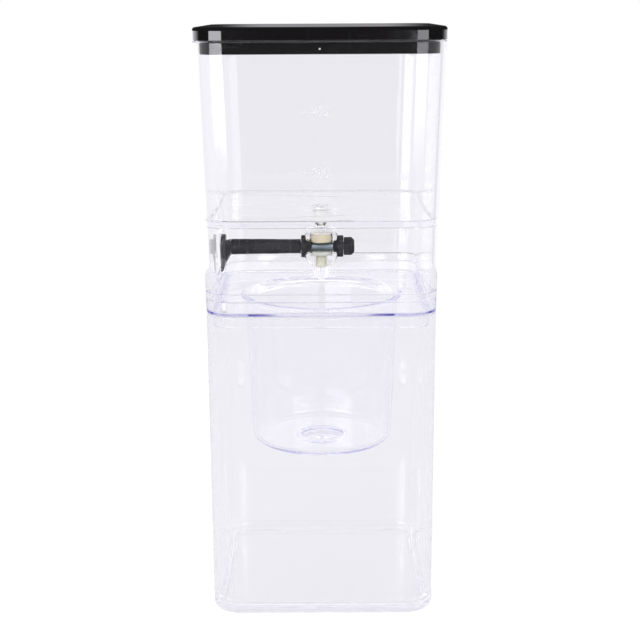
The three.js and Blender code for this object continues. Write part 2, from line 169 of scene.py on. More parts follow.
class TankSizes(bpy.types.PropertyGroup):
    floor: length("Floor", 2.2, "Thickness of the tank's floor")
    floor_under: length("Floor underside", 165.2, "Level of the underside of the floor")
    inner_round: length("Inner round", 0.9, "Radius where floor and wall meet inside")
    skirt_round: length("Skirt round", 0.9, "Radius where floor and skirt meet below")
    boss_radius: length("Boss radius", 7.1, "Radius of the boss that holds the valve")
    boss_depth: length("Boss depth", 2.9, "Depth of the boss below the floor")
    bore_radius: length("Bore radius", 3.7, "Radius of the bore for the valve's neck")
    bore_chamfer: length("Bore chamfer", 1, "Chamfer round the bore")
    arch_radius: length("Arch radius", 13, "Radius of the finger arch in the skirt")
    arch_edge: length("Arch edge", 0.5, "Radius along the edge of the arch")
    slip: length("Slip", 0.3, "Clearance of the lip in the frame")


class LidSizes(bpy.types.PropertyGroup):
    top: length("Top", 1.8, "Thickness of the cap's top")
    top_round: length("Top round", 1.3, "Radius round the cap's top edge")
    plug_inset: length("Plug inset", 2.6, "Distance from the outer wall to the plug")
    plug_wall: length("Plug wall", 1.6, "Thickness of the plug")
    inner_round: length("Inner round", 0.8, "Radius between cap and plug")
    fit: length("Fit", 0.2, "Clearance between cap and plug")
    vent_radius: length("Vent radius", 0.36, "Radius of the air vent")
    vent_height: length("Vent height", 2, "Height of the vent above the plug's edge")


class ValveSizes(bpy.types.PropertyGroup):
    fit: length("Fit", 0.2, "Clearance between the valve's pieces")
    neck_radius: length("Neck radius", 3.5, "Outer radius of the neck")
    neck_bore: length("Neck bore", 2.2, "Radius of the water hole in the neck")
    groove_depth: length("Groove depth", 0.75, "Depth of the ring's groove")
    groove_height: length("Groove height", 1.3, "Height of the ring's groove")
    groove_level: length("Groove level", 164.35, "Level of the middle of the groove")
    body_radius: length("Body radius", 7, "Radius of the body")
    body_rise: length("Body rise", 6.5, "Height of the body above the spindle")
    body_drop: length("Body drop", 5, "Depth of the body below the spindle")
    body_bevel: length("Body bevel", 1.2, "Bevel round the body's top")
    shoulder_radius: length("Shoulder radius", 5.3, "Radius at the foot of the shoulder")
    shoulder_drop: length("Shoulder drop", 8, "Depth of the shoulder below the spindle")
    nozzle_top: length("Nozzle top", 4.4, "Radius at the top of the nozzle")
    nozzle_tip: length("Nozzle tip", 2.35, "Radius at the tip of the nozzle")
    nozzle_drop: length("Nozzle drop", 14.5, "Depth of the nozzle's tip below the spindle")
    nozzle_bore: length("Nozzle bore", 1.3, "Radius of the nozzle's bore")
    flat_inset: length("Flat inset", 0.4, "Depth of the flats at the nuts")
    seal_radius: length("Seal radius", 4.3, "Outer radius of the disc seals")
    seal_bore: length("Seal bore", 1.1, "Radius of the hole in the disc seals")
    upper_seal: length("Upper seal", 3.2, "Height of the upper seal")
    lower_seal: length("Lower seal", 1.5, "Height of the lower seal")
    sleeve_radius: length("Sleeve radius", 2.4, "Outer radius of the outlet sleeve")
    sleeve_bore: length("Sleeve bore", 0.9, "Radius of the hole in the sleeve")
    sleeve_height: length("Sleeve height", 5, "Height of the outlet sleeve")
    ring_gap: length("Ring gap", 0.08, "Clearance round the rubber rings")


class SpindleSizes(bpy.types.PropertyGroup):
    core_radius: length("Core radius", 1.9, "Radius of the metal core")
    core_hole: length("Core hole", 0.8, "Radius of the water hole through the core")
    collar_radius: length("Collar radius", 4.85, "Radius of the packing nut")
    collar_width: length("Collar width", 1.8, "Width of the packing nut")
    nose_radius: length("Nose radius", 4.2, "Radius at the root of the nut's nose")
    nose_tip: length("Nose tip", 2.5, "Radius at the tip of the nut's nose")
    nose_length: length("Nose length", 3.1, "Length of the nut's nose")
    gland_radius: length("Gland radius", 4.7, "Radius of the gland nut")
    gland_width: length("Gland width", 2.8, "Width of the gland nut")
    spigot_radius: length("Spigot radius", 3.2, "Radius of the gland nut's spigot")
    spigot_length: length("Spigot length", 0.9, "Length of the gland nut's spigot")
    stem_radius: length("Stem radius", 3.34, "Radius of the stem at the lever")
    stem_waist: length("Stem waist", 3.08, "Radius of the stem near the valve")
    cap_radius: length("Cap radius", 3.93, "Radius of the end cap")
    cap_chamfer: length("Cap chamfer", 1.3, "Chamfer of the end cap")


class LeverSizes(bpy.types.PropertyGroup):
    top_radius: length("Top radius", 5.5, "Radius of the lever's round top")
    reach: length("Reach", 11.2, "Distance from the spindle to the tip")
    tip_width: length("Tip width", 9, "Width of the lever at its tip")
    corner: length("Tip corner", 1.4, "Radius of the corners of the tip")
    blade: length("Blade", 2.9, "Thickness of the blade")
    blade_tip: length("Blade tip", 0.9, "Thickness of the blade at its tip")
    blade_top: length("Blade top", 2.5, "Thickness of the blade at its top")
    bow: length("Bow", 0.55, "How far the outer face leans in at the top")
    gusset_rise: length("Gusset rise", 2.7, "Height of the gusset above the spindle")
    gusset_drop: length("Gusset drop", 7.4, "Depth of the gusset below the spindle")
    gusset_width: length("Gusset width", 5, "Width of the gusset")
    edge_round: length("Edge round", 0.35, "Radius along the lever's edges")


class MarkSizes(bpy.types.PropertyGroup):
    lower: length("Lower mark", 187.3, "Level of the 200 mark")
    upper: length("Upper mark", 211.2, "Level of the 400 mark")
    height: length("Figure height", 4.0, "Height of the figures")
    narrow: amount("Figure width", 0.74, "Width of the figures against the plain font")
    start: level("Start", -6.9 * MM, "Left end of the marks")
    dash: length("Dash", 3.2, "Length of the dash before the figures")
    gap: length("Gap", 0.5, "Gap between the dash and the figures")
    stroke: length("Stroke", 0.35, "Height of the dash")
    ink: length("Ink", 0.04, "Thickness of the ink")


class Finishes(bpy.types.PropertyGroup):
    clear: tint("Clear plastic", (0.30, 0.30, 0.60), "Colour left after a long way through the shells")
    violet: tint("Violet plastic", (0.20, 0.15, 0.70), "Colour left after a long way through the cup")
    gloss_black: tint("Gloss black", (0.0066, 0.006, 0.0064), "Colour of the lid")
    textured_black: tint("Textured black", (0.014, 0.014, 0.017), "Colour of stem, nuts, cap and lever")
    steel: tint("Steel", (0.30, 0.36, 0.42), "Colour of the spindle's core")
    cream: tint("Cream silicone", (0.90, 0.80, 0.60), "Colour of the upper seal")
    olive: tint("Sleeve silicone", (0.84, 0.82, 0.68), "Colour of the outlet sleeve")
    frosted: tint("Frosted silicone", (0.83, 0.84, 0.80), "Colour of the lower seal")
    valve: tint("Valve plastic", (0.78, 0.78, 0.74), "Colour left after a long way through the valve")
    rubber: tint("Black rubber", (0.016, 0.016, 0.017), "Colour of the rings")
    ink: tint("Ink", (0.93, 0.93, 0.95), "Colour of the level marks")
    clear_density: amount("Clear density", 0.8, "How quickly the shells colour light", 200.0)
    valve_density: amount("Valve density", 50.0, "How quickly the valve colours light", 200.0)
    violet_density: amount("Violet density", 6.8, "How quickly the cup colours light", 200.0)


class StudioSettings(bpy.types.PropertyGroup):
    floor_radius: length("Floor radius", 700, "Radius of the white floor")
    room: amount("Room light", 0.62, "Level of the even light of the room", 4.0)
    lamp: amount("Lamp power", 5.0, "Power of each soft lamp", 100.0)
    left_box: amount("Left box", 6.7, "Brightness of the left soft box in reflections", 50.0)
    right_box: amount("Right box", 3.5, "Brightness of the right soft box in reflections", 50.0)
    box_share: amount("Box share", 0.45, "Share of the soft boxes mirrored inside clear walls")
    left_edge: amount("Left edge", 2.2, "Brightness behind the left edge, in reflections", 10.0)
    right_edge: amount("Right edge", 1.4, "Brightness behind the right edge, in reflections", 10.0)
    far_wall: amount("Far wall", 0.34, "Brightness of the room behind, above the horizon, in reflections", 2.0)
    tone: tint("Backdrop tone", (0.955, 0.945, 1.0), "Colour of the room's light in clear walls and reflections")
    backdrop: amount("Backdrop", 0.995, "Brightness of the backdrop behind clear walls", 2.0)
    front: amount("Front room", 0.84, "Brightness of the room in front, seen through clear walls", 2.0)
    ground: amount("Ground", 0.90, "Brightness of the floor behind clear walls", 2.0)
    dark: amount("Dark room", 0.03, "Brightness of the room in front, in reflections", 2.0)
    dim: amount("Dim room", 0.85, "Brightness of the room in front, mirrored inside clear walls", 2.0)
    ahead: amount("Room ahead", 0.15, "Brightness straight ahead, mirrored inside clear walls", 2.0)
    # Strength of the painted glow that clear walls show to caught rays
    caught: amount("Caught light", 0.85, "Brightness met by rays that stay caught in clear walls", 2.0)
    floor_glow: amount("Floor glow", 0.8, "Share of the floor's white that has no shadow")


GROUPS = {
    "stack_sizes": StackSizes,
    "carafe_sizes": CarafeSizes,
    "cup_sizes": CupSizes,
    "tank_sizes": TankSizes,
    "lid_sizes": LidSizes,
    "valve_sizes": ValveSizes,
    "spindle_sizes": SpindleSizes,
    "lever_sizes": LeverSizes,
    "mark_sizes": MarkSizes,
    "finishes": Finishes,
    "studio": StudioSettings,
}


# Outlines and surfaces


def rounded(outline, steps=4, support=0.2 * MM):
    """Outline through corners given as (across, height, radius).

    An arc replaces each corner. It touches both straight stretches at radius / tan(half the
    corner's angle) from the corner, and its points are the weighted sum of its two end arms by the
    sines of the angle left and the angle passed. One more point stands a little before and after
    each arc, so that the flat stretches stay flat under smooth shading.
    """
    places = np.array([point[:2] for point in outline], dtype=float)
    runs = []
    for index, (_, _, radius) in enumerate(outline):
        here = places[index]
        if radius == 0 or index in (0, len(outline) - 1):
            runs.append(here[None])
            continue
        back, ahead = places[index - 1] - here, places[index + 1] - here
        far_back, far_ahead = np.linalg.norm(back), np.linalg.norm(ahead)
        back, ahead = back / far_back, ahead / far_ahead
        half = math.acos(np.clip(back @ ahead, -1, 1)) / 2
        reach = min(radius / math.tan(half), far_back / 2, far_ahead / 2)
        middle = (back + ahead) / np.linalg.norm(back + ahead)
        centre = here + middle * reach / math.cos(half)
        start, end = here + back * reach, here + ahead * reach
        sweep = math.pi - 2 * half
        passed = np.linspace(0, sweep, steps + 1)[:, None]
        arms = np.sin(sweep - passed) * (start - centre) + np.sin(passed) * (end - centre)
        lead = start + back * min(support, (far_back - reach) / 3)
        trail = end + ahead * min(support, (far_ahead - reach) / 3)
        runs.append(np.vstack([lead, centre + arms / math.sin(sweep), trail]))
    return np.concatenate(runs)


def square_path(steps, left=(), lead=0.985):
    """Path round a square with round corners, as three lists over its points: the share of the way
    from the middle to a corner's centre along X and along Y, and the angle of the outward normal.
    Each corner has one more point a little before and after its arc, at the share lead, which keeps
    the flat sides flat under smooth shading. left adds points to the straight stretch on the -X
    side, given by their share along Y."""
    turn = np.concatenate([[0], np.linspace(0, QUARTER, steps + 1), [QUARTER]])
    near, far = np.ones(steps + 3), np.ones(steps + 3)
    near[0], far[-1] = lead, lead
    across, along, angle = [], [], []
    for corner, (side_x, side_y) in enumerate(((1, 1), (-1, 1), (-1, -1), (1, -1))):
        even = corner % 2 == 0
        across.append(side_x * (far if even else near))
        along.append(side_y * (near if even else far))
        angle.append(turn + corner * QUARTER)
        if corner == 1 and len(left):
            across.append(np.full(len(left), -1))
            along.append(np.asarray(left))
            angle.append(np.full(len(left), math.pi))
    return np.concatenate(across), np.concatenate(along), np.concatenate(angle)


def outer_half(z):
    """Half the outer side of the stack at a height: straight lines between the moulded levels."""
    sizes, under_z = bpy.context.scene.stack_sizes, bpy.context.scene.tank_sizes.floor_under
    levels = [0, CARAFE_TOP, CARAFE_TOP + sizes.stack_gap, CUP_TOP,
              CUP_TOP + sizes.stack_gap, under_z, TANK_RIM, LID_TOP]
    sides = [sizes.base_side, sizes.mouth_side, sizes.mouth_side, sizes.joint_side,
             sizes.joint_side, sizes.floor_side, sizes.top_side, sizes.top_side]
    return np.interp(z, levels, sides) / 2


def square_rows(outline, path):
    """Rows of points round the stack. Each row is given by its inset from the outer wall and its
    height: a corner's centre stands a corner radius inside the wall, and the row runs round it at
    the corner radius less the inset."""
    across, along, angle = path
    inset, z = outline[:, :1], outline[:, 1:2]
    radius = bpy.context.scene.stack_sizes.corner_radius
    centre = outer_half(z) - radius
    x = centre * across + (radius - inset) * np.cos(angle)
    y = centre * along + (radius - inset) * np.sin(angle)
    return np.stack([x, y, np.broadcast_to(z, x.shape)], axis=-1)


def circle_rows(outline, count):
    """Rows of points on circles, each given by its radius and height."""
    radius, z = outline[:, :1], outline[:, 1:2]
    angle = 2 * math.pi * (np.arange(count) + 0.5) / count
    x, y = radius * np.cos(angle), radius * np.sin(angle)
    return np.stack([x, y, np.broadcast_to(z, x.shape)], axis=-1)


def capped(rows, first, last):
    """The rows with a pole before and after them, each given as a point."""
    poles = [np.broadcast_to(np.asarray(point, dtype=float), rows[:1].shape) for point in (first, last)]
    return np.concatenate([poles[0], rows, poles[1]])


def skin(name, rows, endless):
    """Mesh over a grid of rows and columns. Columns always close on themselves, rows only if
    endless, and a row whose points all meet closes as a pole. Doubles are merged, and the faces
    are turned outwards if the volume, the sum of each face's cone from the origin, is negative."""
    height, width = rows.shape[:2]
    index = np.arange(height * width).reshape(height, width)
    if endless:
        index = np.vstack([index, index[:1]])
    right = np.roll(index, -1, axis=1)
    faces = np.stack([index[:-1], right[:-1], right[1:], index[1:]], axis=-1).reshape(-1, 4)
    mesh = bpy.data.meshes.new(name)
    mesh.from_pydata(rows.reshape(-1, 3).tolist(), [], faces.tolist())
    work = bmesh.new()
    work.from_mesh(mesh)
    bmesh.ops.remove_doubles(work, verts=work.verts, dist=MERGED)
    if work.calc_volume(signed=True) < 0:
        bmesh.ops.reverse_faces(work, faces=work.faces)
    work.to_mesh(mesh)
    work.free()
    return mesh


def upright(name, outline, columns, endless=True):
    """An outline of radius and height turned about the stack's axis."""
    return skin(name, circle_rows(np.asarray(outline, dtype=float), columns), endless)


def lying(name, outline, columns, endless=False):
    """The same turned about the spindle's axis: height becomes the place along X."""
    rows = circle_rows(np.asarray(outline, dtype=float), columns)
    return skin(name, np.stack([rows[..., 2], rows[..., 0], rows[..., 1] + SPINDLE_Z], axis=-1), endless)


def combined(mesh, operation, *others):
    """The mesh joined with the others, or less the space inside them, as the operation says."""
    body = bpy.data.objects.new("base", mesh)
    bpy.context.collection.objects.link(body)
    tools = []
    for other in others:
        tool = bpy.data.objects.new("tool", other)
        bpy.context.collection.objects.link(tool)
        change = body.modifiers.new(operation, "BOOLEAN")
        change.operation = operation
        change.solver = "EXACT"
        change.object = tool
        tools.append(tool)
    view = bpy.context.evaluated_depsgraph_get()
    result = bpy.data.meshes.new_from_object(body.evaluated_get(view))
    for spare in [body, *tools]:
        bpy.data.objects.remove(spare)
    return result


def place(name, mesh, material, body, node):
    """Puts a finished mesh in the scene as a piece that rides on a body. A piece that stands for a
    node is smooth, apart from its sharp edges."""
    if len(mesh.polygons) == 0:
        raise RuntimeError(f"{name} came out empty")
    mesh.name = name
    mesh.materials.clear()
    mesh.materials.append(material)
    piece = bpy.data.objects.new(name, mesh)
    bpy.context.collection.objects.link(piece)
    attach(piece, body)
    if node:
        mesh.shade_smooth()
        mesh.set_sharp_from_angle(angle=SHARP)
        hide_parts(node)


# Materials


class Term:
    """A socket that gives a number, a colour or a shader. Sums and products of terms and numbers
    are Math nodes in the socket's own tree."""

    def __init__(self, socket):
        self.socket = socket

    def math(self, operation, *others):
        node = self.socket.id_data.nodes.new("ShaderNodeMath")
        node.operation = operation
        for socket, value in zip(node.inputs, (self, *others)):
            feed(socket, value)
        return Term(node.outputs[0])

    def __add__(self, other):
        return self.math("ADD", other)

    def __mul__(self, other):
        return self.math("MULTIPLY", other)

    def __rsub__(self, number):
        return self.math("MULTIPLY_ADD", -1.0, number)

    def most(self, other):
        return self.math("MAXIMUM", other)

    def ramp(self, start, end, low=0.0, high=1.0, kind="SMOOTHSTEP"):
        """low up to start and high past end, with a soft way between unless the kind says otherwise."""
        return term(
            self.socket.id_data, "ShaderNodeMapRange", "Result", {"interpolation_type": kind},
            Value=self, From_Min=start, From_Max=end, To_Min=low, To_Max=high,
        )

    def band(self, start, end, soft):
        """1 between two numbers and 0 outside them, with soft ends."""
        return self.ramp(start - soft, start + soft) * self.ramp(end - soft, end + soft, 1.0, 0.0)


def feed(socket, value):
    """Sets a socket to a value, or links it to a term."""
    if isinstance(value, Term):
        socket.id_data.links.new(value.socket, socket)
    else:
        socket.default_value = value


def fill(node, **values):
    """Feeds a node's inputs, which the values name with an underscore for a space."""
    for key, value in values.items():
        feed(node.inputs[key.replace("_", " ")], value)


def add(tree, kind, settings=None, **values):
    """A new node with its settings and inputs."""
    node = tree.nodes.new(kind)
    for key, value in (settings or {}).items():
        setattr(node, key, value)
    fill(node, **values)
    return node


def term(tree, kind, output=0, settings=None, **values):
    """One output of a new node."""
    return Term(add(tree, kind, settings, **values).outputs[output])


def mixed_colour(tree, mask, first, second):
    node = add(tree, "ShaderNodeMix", {"data_type": "RGBA"})
    for index, value in ((0, mask), (6, (*first, 1)), (7, (*second, 1))):
        feed(node.inputs[index], value)
    return Term(node.outputs[2])


def mixed_shader(tree, mask, first, second):
    node = add(tree, "ShaderNodeMixShader")
    for socket, value in zip(node.inputs, (mask, first, second)):
        feed(socket, value)
    return Term(node.outputs[0])


def bump(tree, height, strength, distance):
    return term(tree, "ShaderNodeBump", Height=height, Strength=strength, Distance=distance)


def new_group(name, outputs, **inputs):
    """A node group with a vector and numbers going in: its tree, its output sockets and its inputs."""
    tree = bpy.data.node_groups.new(name, "ShaderNodeTree")
    tree.interface.new_socket(name="Vector", in_out="INPUT", socket_type="NodeSocketVector")
    for label, value in inputs.items():
        socket = tree.interface.new_socket(name=label, in_out="INPUT", socket_type="NodeSocketFloat")
        socket.default_value = value
    for label in outputs:
        tree.interface.new_socket(name=label, in_out="OUTPUT", socket_type="NodeSocketFloat")
    inside, outside = tree.nodes.new("NodeGroupInput"), tree.nodes.new("NodeGroupOutput")
    return tree, outside.inputs, *(Term(inside.outputs[label]) for label in ("Vector", *inputs))


def effect(tree, name, vector, **values):
    """The outputs of a node group placed in a tree."""
    node = add(tree, "ShaderNodeGroup", {"node_tree": bpy.data.node_groups[name]}, Vector=vector, **values)
    return [Term(socket) for socket in node.outputs]


def make_groups():
    """Builds the shared surface effects once."""
    tree, out, vector, scale = new_group("Mould ripple", ["Height"], Scale=60.0)
    wide = term(tree, "ShaderNodeTexNoise", "Fac", Vector=vector, Scale=scale, Detail=1.0, Roughness=0.4)
    fine = term(tree, "ShaderNodeTexNoise", "Fac", Vector=vector, Scale=scale * 4.7, Detail=0.0)
    feed(out["Height"], fine * 0.12 + wide)

    # Two lays of long thin noise, of which only the crests count
    tree, out, vector, share = new_group("Hairline scratches", ["Mask"], Amount=0.5)
    strokes = []
    for stretch, turn in (((900.0, 900.0, 26.0), 0.35), ((30.0, 820.0, 760.0), 1.1)):
        lay = term(tree, "ShaderNodeMapping", Vector=vector, Rotation=(turn, 0.4 * turn, turn), Scale=stretch)
        noise = term(tree, "ShaderNodeTexNoise", "Fac", Vector=lay, Scale=1.0, Detail=1.0)
        strokes.append(noise.math("GREATER_THAN", 0.71))
    feed(out["Mask"], strokes[0].most(strokes[1]) * share)

    tree, out, vector, scale = new_group("Pebbled skin", ["Height", "Speckle"], Scale=1600.0)
    cells = term(
        tree, "ShaderNodeTexVoronoi", "Distance", {"feature": "SMOOTH_F1"}, Vector=vector, Scale=scale, Randomness=1.0,
    )
    grain_sheen = term(tree, "ShaderNodeTexNoise", "Fac", Vector=vector, Scale=scale * 1.6, Detail=3.0, Roughness=0.7)
    feed(out["Height"], grain_sheen * 0.4 + (1.0 - cells))
    # Speckle marks the raised grains that textured_black paints lighter, as a painted sheen
    feed(out["Speckle"], grain_sheen.ramp(0.53, 0.66, kind="LINEAR"))

    # Some cells hold a speck, whose size changes with the cell
    tree, out, vector, scale, share = new_group("Dust specks", ["Mask"], Scale=150.0, Amount=0.5)
    cells = add(tree, "ShaderNodeTexVoronoi", Vector=vector, Scale=scale, Randomness=1.0)
    colour = add(tree, "ShaderNodeSeparateColor", Color=Term(cells.outputs["Color"]))
    chosen = Term(colour.outputs["Red"]).math("GREATER_THAN", 0.72)
    near = Term(cells.outputs["Distance"]).math("LESS_THAN", Term(colour.outputs["Green"]) * 0.045)
    feed(out["Mask"], chosen * near * share)


def material(name, paint, *values):
    """The material of that name. On its first use, paint wires up its surface shader."""
    if name not in bpy.data.materials:
        new = bpy.data.materials.new(name)
        new.use_nodes = True
        tree = new.node_tree
        paint(tree, tree.nodes["Principled BSDF"], term(tree, "ShaderNodeTexCoord", "Object"), *values)
    return bpy.data.materials[name]


def clear_plastic(tree, shader, vector, colour, density, refraction, ripple):
    """Polished clear plastic that colours light by the length of its way inside, with the mould's
    slight waviness and hairline scratches that scatter a little more. Light from the lamps reaches
    what is behind it. After many turns in the walls a ray meets a painted glow in the room's tone,
    standing in for the light that the edges of a real moulding let out."""
    studio, output = bpy.context.scene.studio, tree.nodes["Material Output"]
    [scratches] = effect(tree, "Hairline scratches", vector, Amount=1.0)
    [waves] = effect(tree, "Mould ripple", vector, Scale=70.0)
    light = add(tree, "ShaderNodeLightPath").outputs
    # Painted glow: a caught ray makes the plastic emit the room's tone, standing in for light let out at real edges
    caught = Term(light["Ray Depth"]).math("COMPARE", CAUGHT_TURNS, 0.5)
    fill(
        shader, Base_Color=(1, 1, 1, 1), Transmission_Weight=1.0, IOR=refraction,
        Roughness=scratches * 0.10 + 0.012, Normal=bump(tree, waves, ripple, 0.3 * MM),
        Emission_Color=mixed_colour(tree, caught, (0, 0, 0), studio.tone), Emission_Strength=studio.caught,
    )
    open_to_lamps = term(tree, "ShaderNodeBsdfTransparent", Color=(1, 1, 1, 1))
    surface = mixed_shader(tree, Term(light["Is Shadow Ray"]), Term(shader.outputs["BSDF"]), open_to_lamps)
    inside = term(tree, "ShaderNodeVolumeAbsorption", Color=(*colour, 1), Density=density)
    fill(output, Surface=surface, Volume=inside)


def gloss_black(tree, shader, vector, refraction):
    """Polished black plastic with hairline scratches and a few specks of dust."""
    [dust] = effect(tree, "Dust specks", vector, Scale=170.0, Amount=0.75)
    [scratches] = effect(tree, "Hairline scratches", vector, Amount=0.5)
    [waves] = effect(tree, "Mould ripple", vector, Scale=90.0)
    colour = bpy.context.scene.finishes.gloss_black
    fill(
        shader, Base_Color=mixed_colour(tree, dust, colour, (0.42, 0.40, 0.38)), IOR=refraction,
        Roughness=dust * 0.8 + (scratches * 0.14 + 0.06), Normal=bump(tree, waves, 0.12, 0.3 * MM),
    )


def textured_black(tree, shader, vector, grain, roughness):
    """Black plastic with a fine pebbled skin whose raised grains are painted lighter in random patches,
    a painted sheen that stands in for the glints that grain tops catch.
    """
    colour = bpy.context.scene.finishes.textured_black
    height, speckle = effect(tree, "Pebbled skin", vector, Scale=grain)
    patches = term(tree, "ShaderNodeTexNoise", "Fac", Vector=vector, Scale=160.0, Detail=2.0)
    # Painted sheen: the lighter colour on the speckled grains stands in for their glints
    mask = speckle * patches.ramp(0.34, 0.56, kind="LINEAR")
    grain_sheen = tuple(min(1.0, 5.5 * part + 0.05) for part in colour)
    fill(
        shader, Base_Color=mixed_colour(tree, mask, colour, grain_sheen), IOR=TEXTURED_IOR,
        Roughness=speckle * -0.12 + roughness, Normal=bump(tree, height, 0.55, 0.12 * MM),
    )


def silicone(tree, shader, vector, colour, roughness, translucency):
    """Soft silicone, a little cloudy and uneven in colour."""
    cloud = term(tree, "ShaderNodeTexNoise", "Fac", Vector=vector, Scale=420.0, Detail=2.0)
    deep = tuple(0.86 * part for part in colour)
    fill(
        shader, Base_Color=mixed_colour(tree, cloud, deep, colour), Roughness=cloud * 0.12 + roughness,
        Subsurface_Weight=translucency, Subsurface_Scale=1.2 * MM, Subsurface_Radius=(1.0, 0.8, 0.6),
        Normal=bump(tree, cloud, 0.1, 0.05 * MM),
    )


def turned_steel(tree, shader, vector, colour):
    """Steel with the fine rings that turning leaves round the spindle's axis."""
    rings = term(
        tree, "ShaderNodeTexWave", "Fac", {"bands_direction": "X"},
        Vector=vector, Scale=1500.0, Distortion=0.6, Detail=1.0,
    )
    shade = tuple(0.8 * part for part in colour)
    fill(
        shader, Base_Color=mixed_colour(tree, rings, shade, colour), Metallic=1.0,
        Roughness=rings * 0.08 + 0.2, Normal=bump(tree, rings, 0.08, 0.02 * MM),
    )


def printed_ink(tree, shader, vector, colour):
    """White ink, thinner in places."""
    cloud = term(tree, "ShaderNodeTexNoise", "Fac", Vector=vector, Scale=900.0, Detail=2.0)
    thin = tuple(0.93 * part for part in colour)
    fill(
        shader, Base_Color=mixed_colour(tree, cloud, thin, colour), Roughness=0.55, Alpha=cloud * 0.14 + 0.22,
    )


def shell_plastic():
    finishes = bpy.context.scene.finishes
    return material("clear plastic", clear_plastic, finishes.clear, finishes.clear_density, SHELL_IOR, 0.10)


# Pieces


class COFFEE_OT_carafe(bpy.types.Operator):
    """Square container with a thick floor, a rounded base and an open mouth"""

    bl_idname = "coffee.carafe"
    bl_label = "Carafe"

    def execute(self, context):
        stack, sizes = context.scene.stack_sizes, context.scene.carafe_sizes
        outline = rounded([
            (stack.corner_radius, 0, 0),
            (0, 0, sizes.base_round),
            (0, CARAFE_TOP, stack.rim_round),
            (stack.wall, CARAFE_TOP, stack.rim_round),
            (stack.wall, sizes.floor, sizes.inner_round),
            (stack.corner_radius, sizes.floor, 0),
        ], steps=7)
        rows = capped(square_rows(outline, square_path(CORNER_STEPS)), (0, 0, 0), (0, 0, sizes.floor))
        mesh = skin("carafe_shell", rows, False)
        place("carafe_shell", mesh, shell_plastic(), "carafe", "carafe")
        return {"FINISHED"}


class COFFEE_OT_filter_cup(bpy.types.Operator):
    """Square frame with a flange below and a round cup moulded under its plate"""

    bl_idname = "coffee.filter_cup"
    bl_label = "Filter cup"

    def execute(self, context):
        stack, sizes = context.scene.stack_sizes, context.scene.cup_sizes
        finishes, soft, wall = context.scene.finishes, stack.soft_edge, stack.wall
        frame_z = CARAFE_TOP + stack.stack_gap
        plate_z, ledge_z = frame_z + sizes.plate_rise, TANK_FOOT - stack.stack_gap
        under_plate_z, flange_z = plate_z - sizes.plate, frame_z - sizes.flange_depth
        bottom_z = frame_z - sizes.cup_depth
        inside_z = bottom_z + sizes.cup_floor
        well_z = inside_z - sizes.well_depth
        under_z = well_z - sizes.well_floor
        spout_z = under_z - sizes.spout_length
        well_out = sizes.well_radius + sizes.well_wall
        reach = sizes.top_radius + 1.5 * sizes.mouth_round
        middle, flange_in = stack.corner_radius / 2, sizes.flange_inset + sizes.flange_thickness
        outside = rounded([
            (sizes.drip_radius, spout_z + 4 * soft, 0),
            (sizes.drip_radius, spout_z, soft / 2),
            (sizes.spout_radius, spout_z, soft),
            (sizes.spout_radius + sizes.spout_root, under_z, soft),
            (well_out, under_z, soft),
            (well_out, bottom_z, soft),
            (sizes.bottom_radius, bottom_z, sizes.bottom_round),
            (sizes.top_radius, under_plate_z, sizes.mouth_round),
            (reach, under_plate_z, 0),
        ], steps=6)
        square = rounded([
            (middle, under_plate_z, 0),
            (flange_in, under_plate_z, soft),
            (flange_in, flange_z, 2 * soft),
            (sizes.flange_inset, flange_z, 2 * soft),
            (sizes.flange_inset, frame_z, soft),
            (0, frame_z, 2 * soft),
            (0, CUP_TOP, soft),
            (sizes.lap_rim, CUP_TOP, soft),
            (sizes.lap_rim, ledge_z, soft / 2),
            (wall, ledge_z, soft),
            (wall, plate_z, sizes.inner_round),
            (middle, plate_z, 0),
        ])
        inside = rounded([
            (reach, plate_z, 0),
            (sizes.top_radius - sizes.cup_wall, plate_z, sizes.mouth_round),
            (sizes.bottom_radius - sizes.cup_wall, inside_z, sizes.floor_round),
            (sizes.well_radius, inside_z, soft),
            (sizes.well_radius, well_z, soft),
            (sizes.drip_radius, well_z, soft / 2),
            (sizes.drip_radius, spout_z + 5 * soft, 0),
        ], steps=6)
        path = square_path(CUP_CORNER_STEPS)
        count = len(path[0])
        rows = np.concatenate([circle_rows(outside, count), square_rows(square, path), circle_rows(inside, count)])
        violet = material(
            "violet clear plastic", clear_plastic, finishes.violet, finishes.violet_density, SHELL_IOR, 0.10,
        )
        place("filter_cup_shell", skin("filter_cup_shell", rows, True), violet, "cup", "filter_cup")
        return {"FINISHED"}


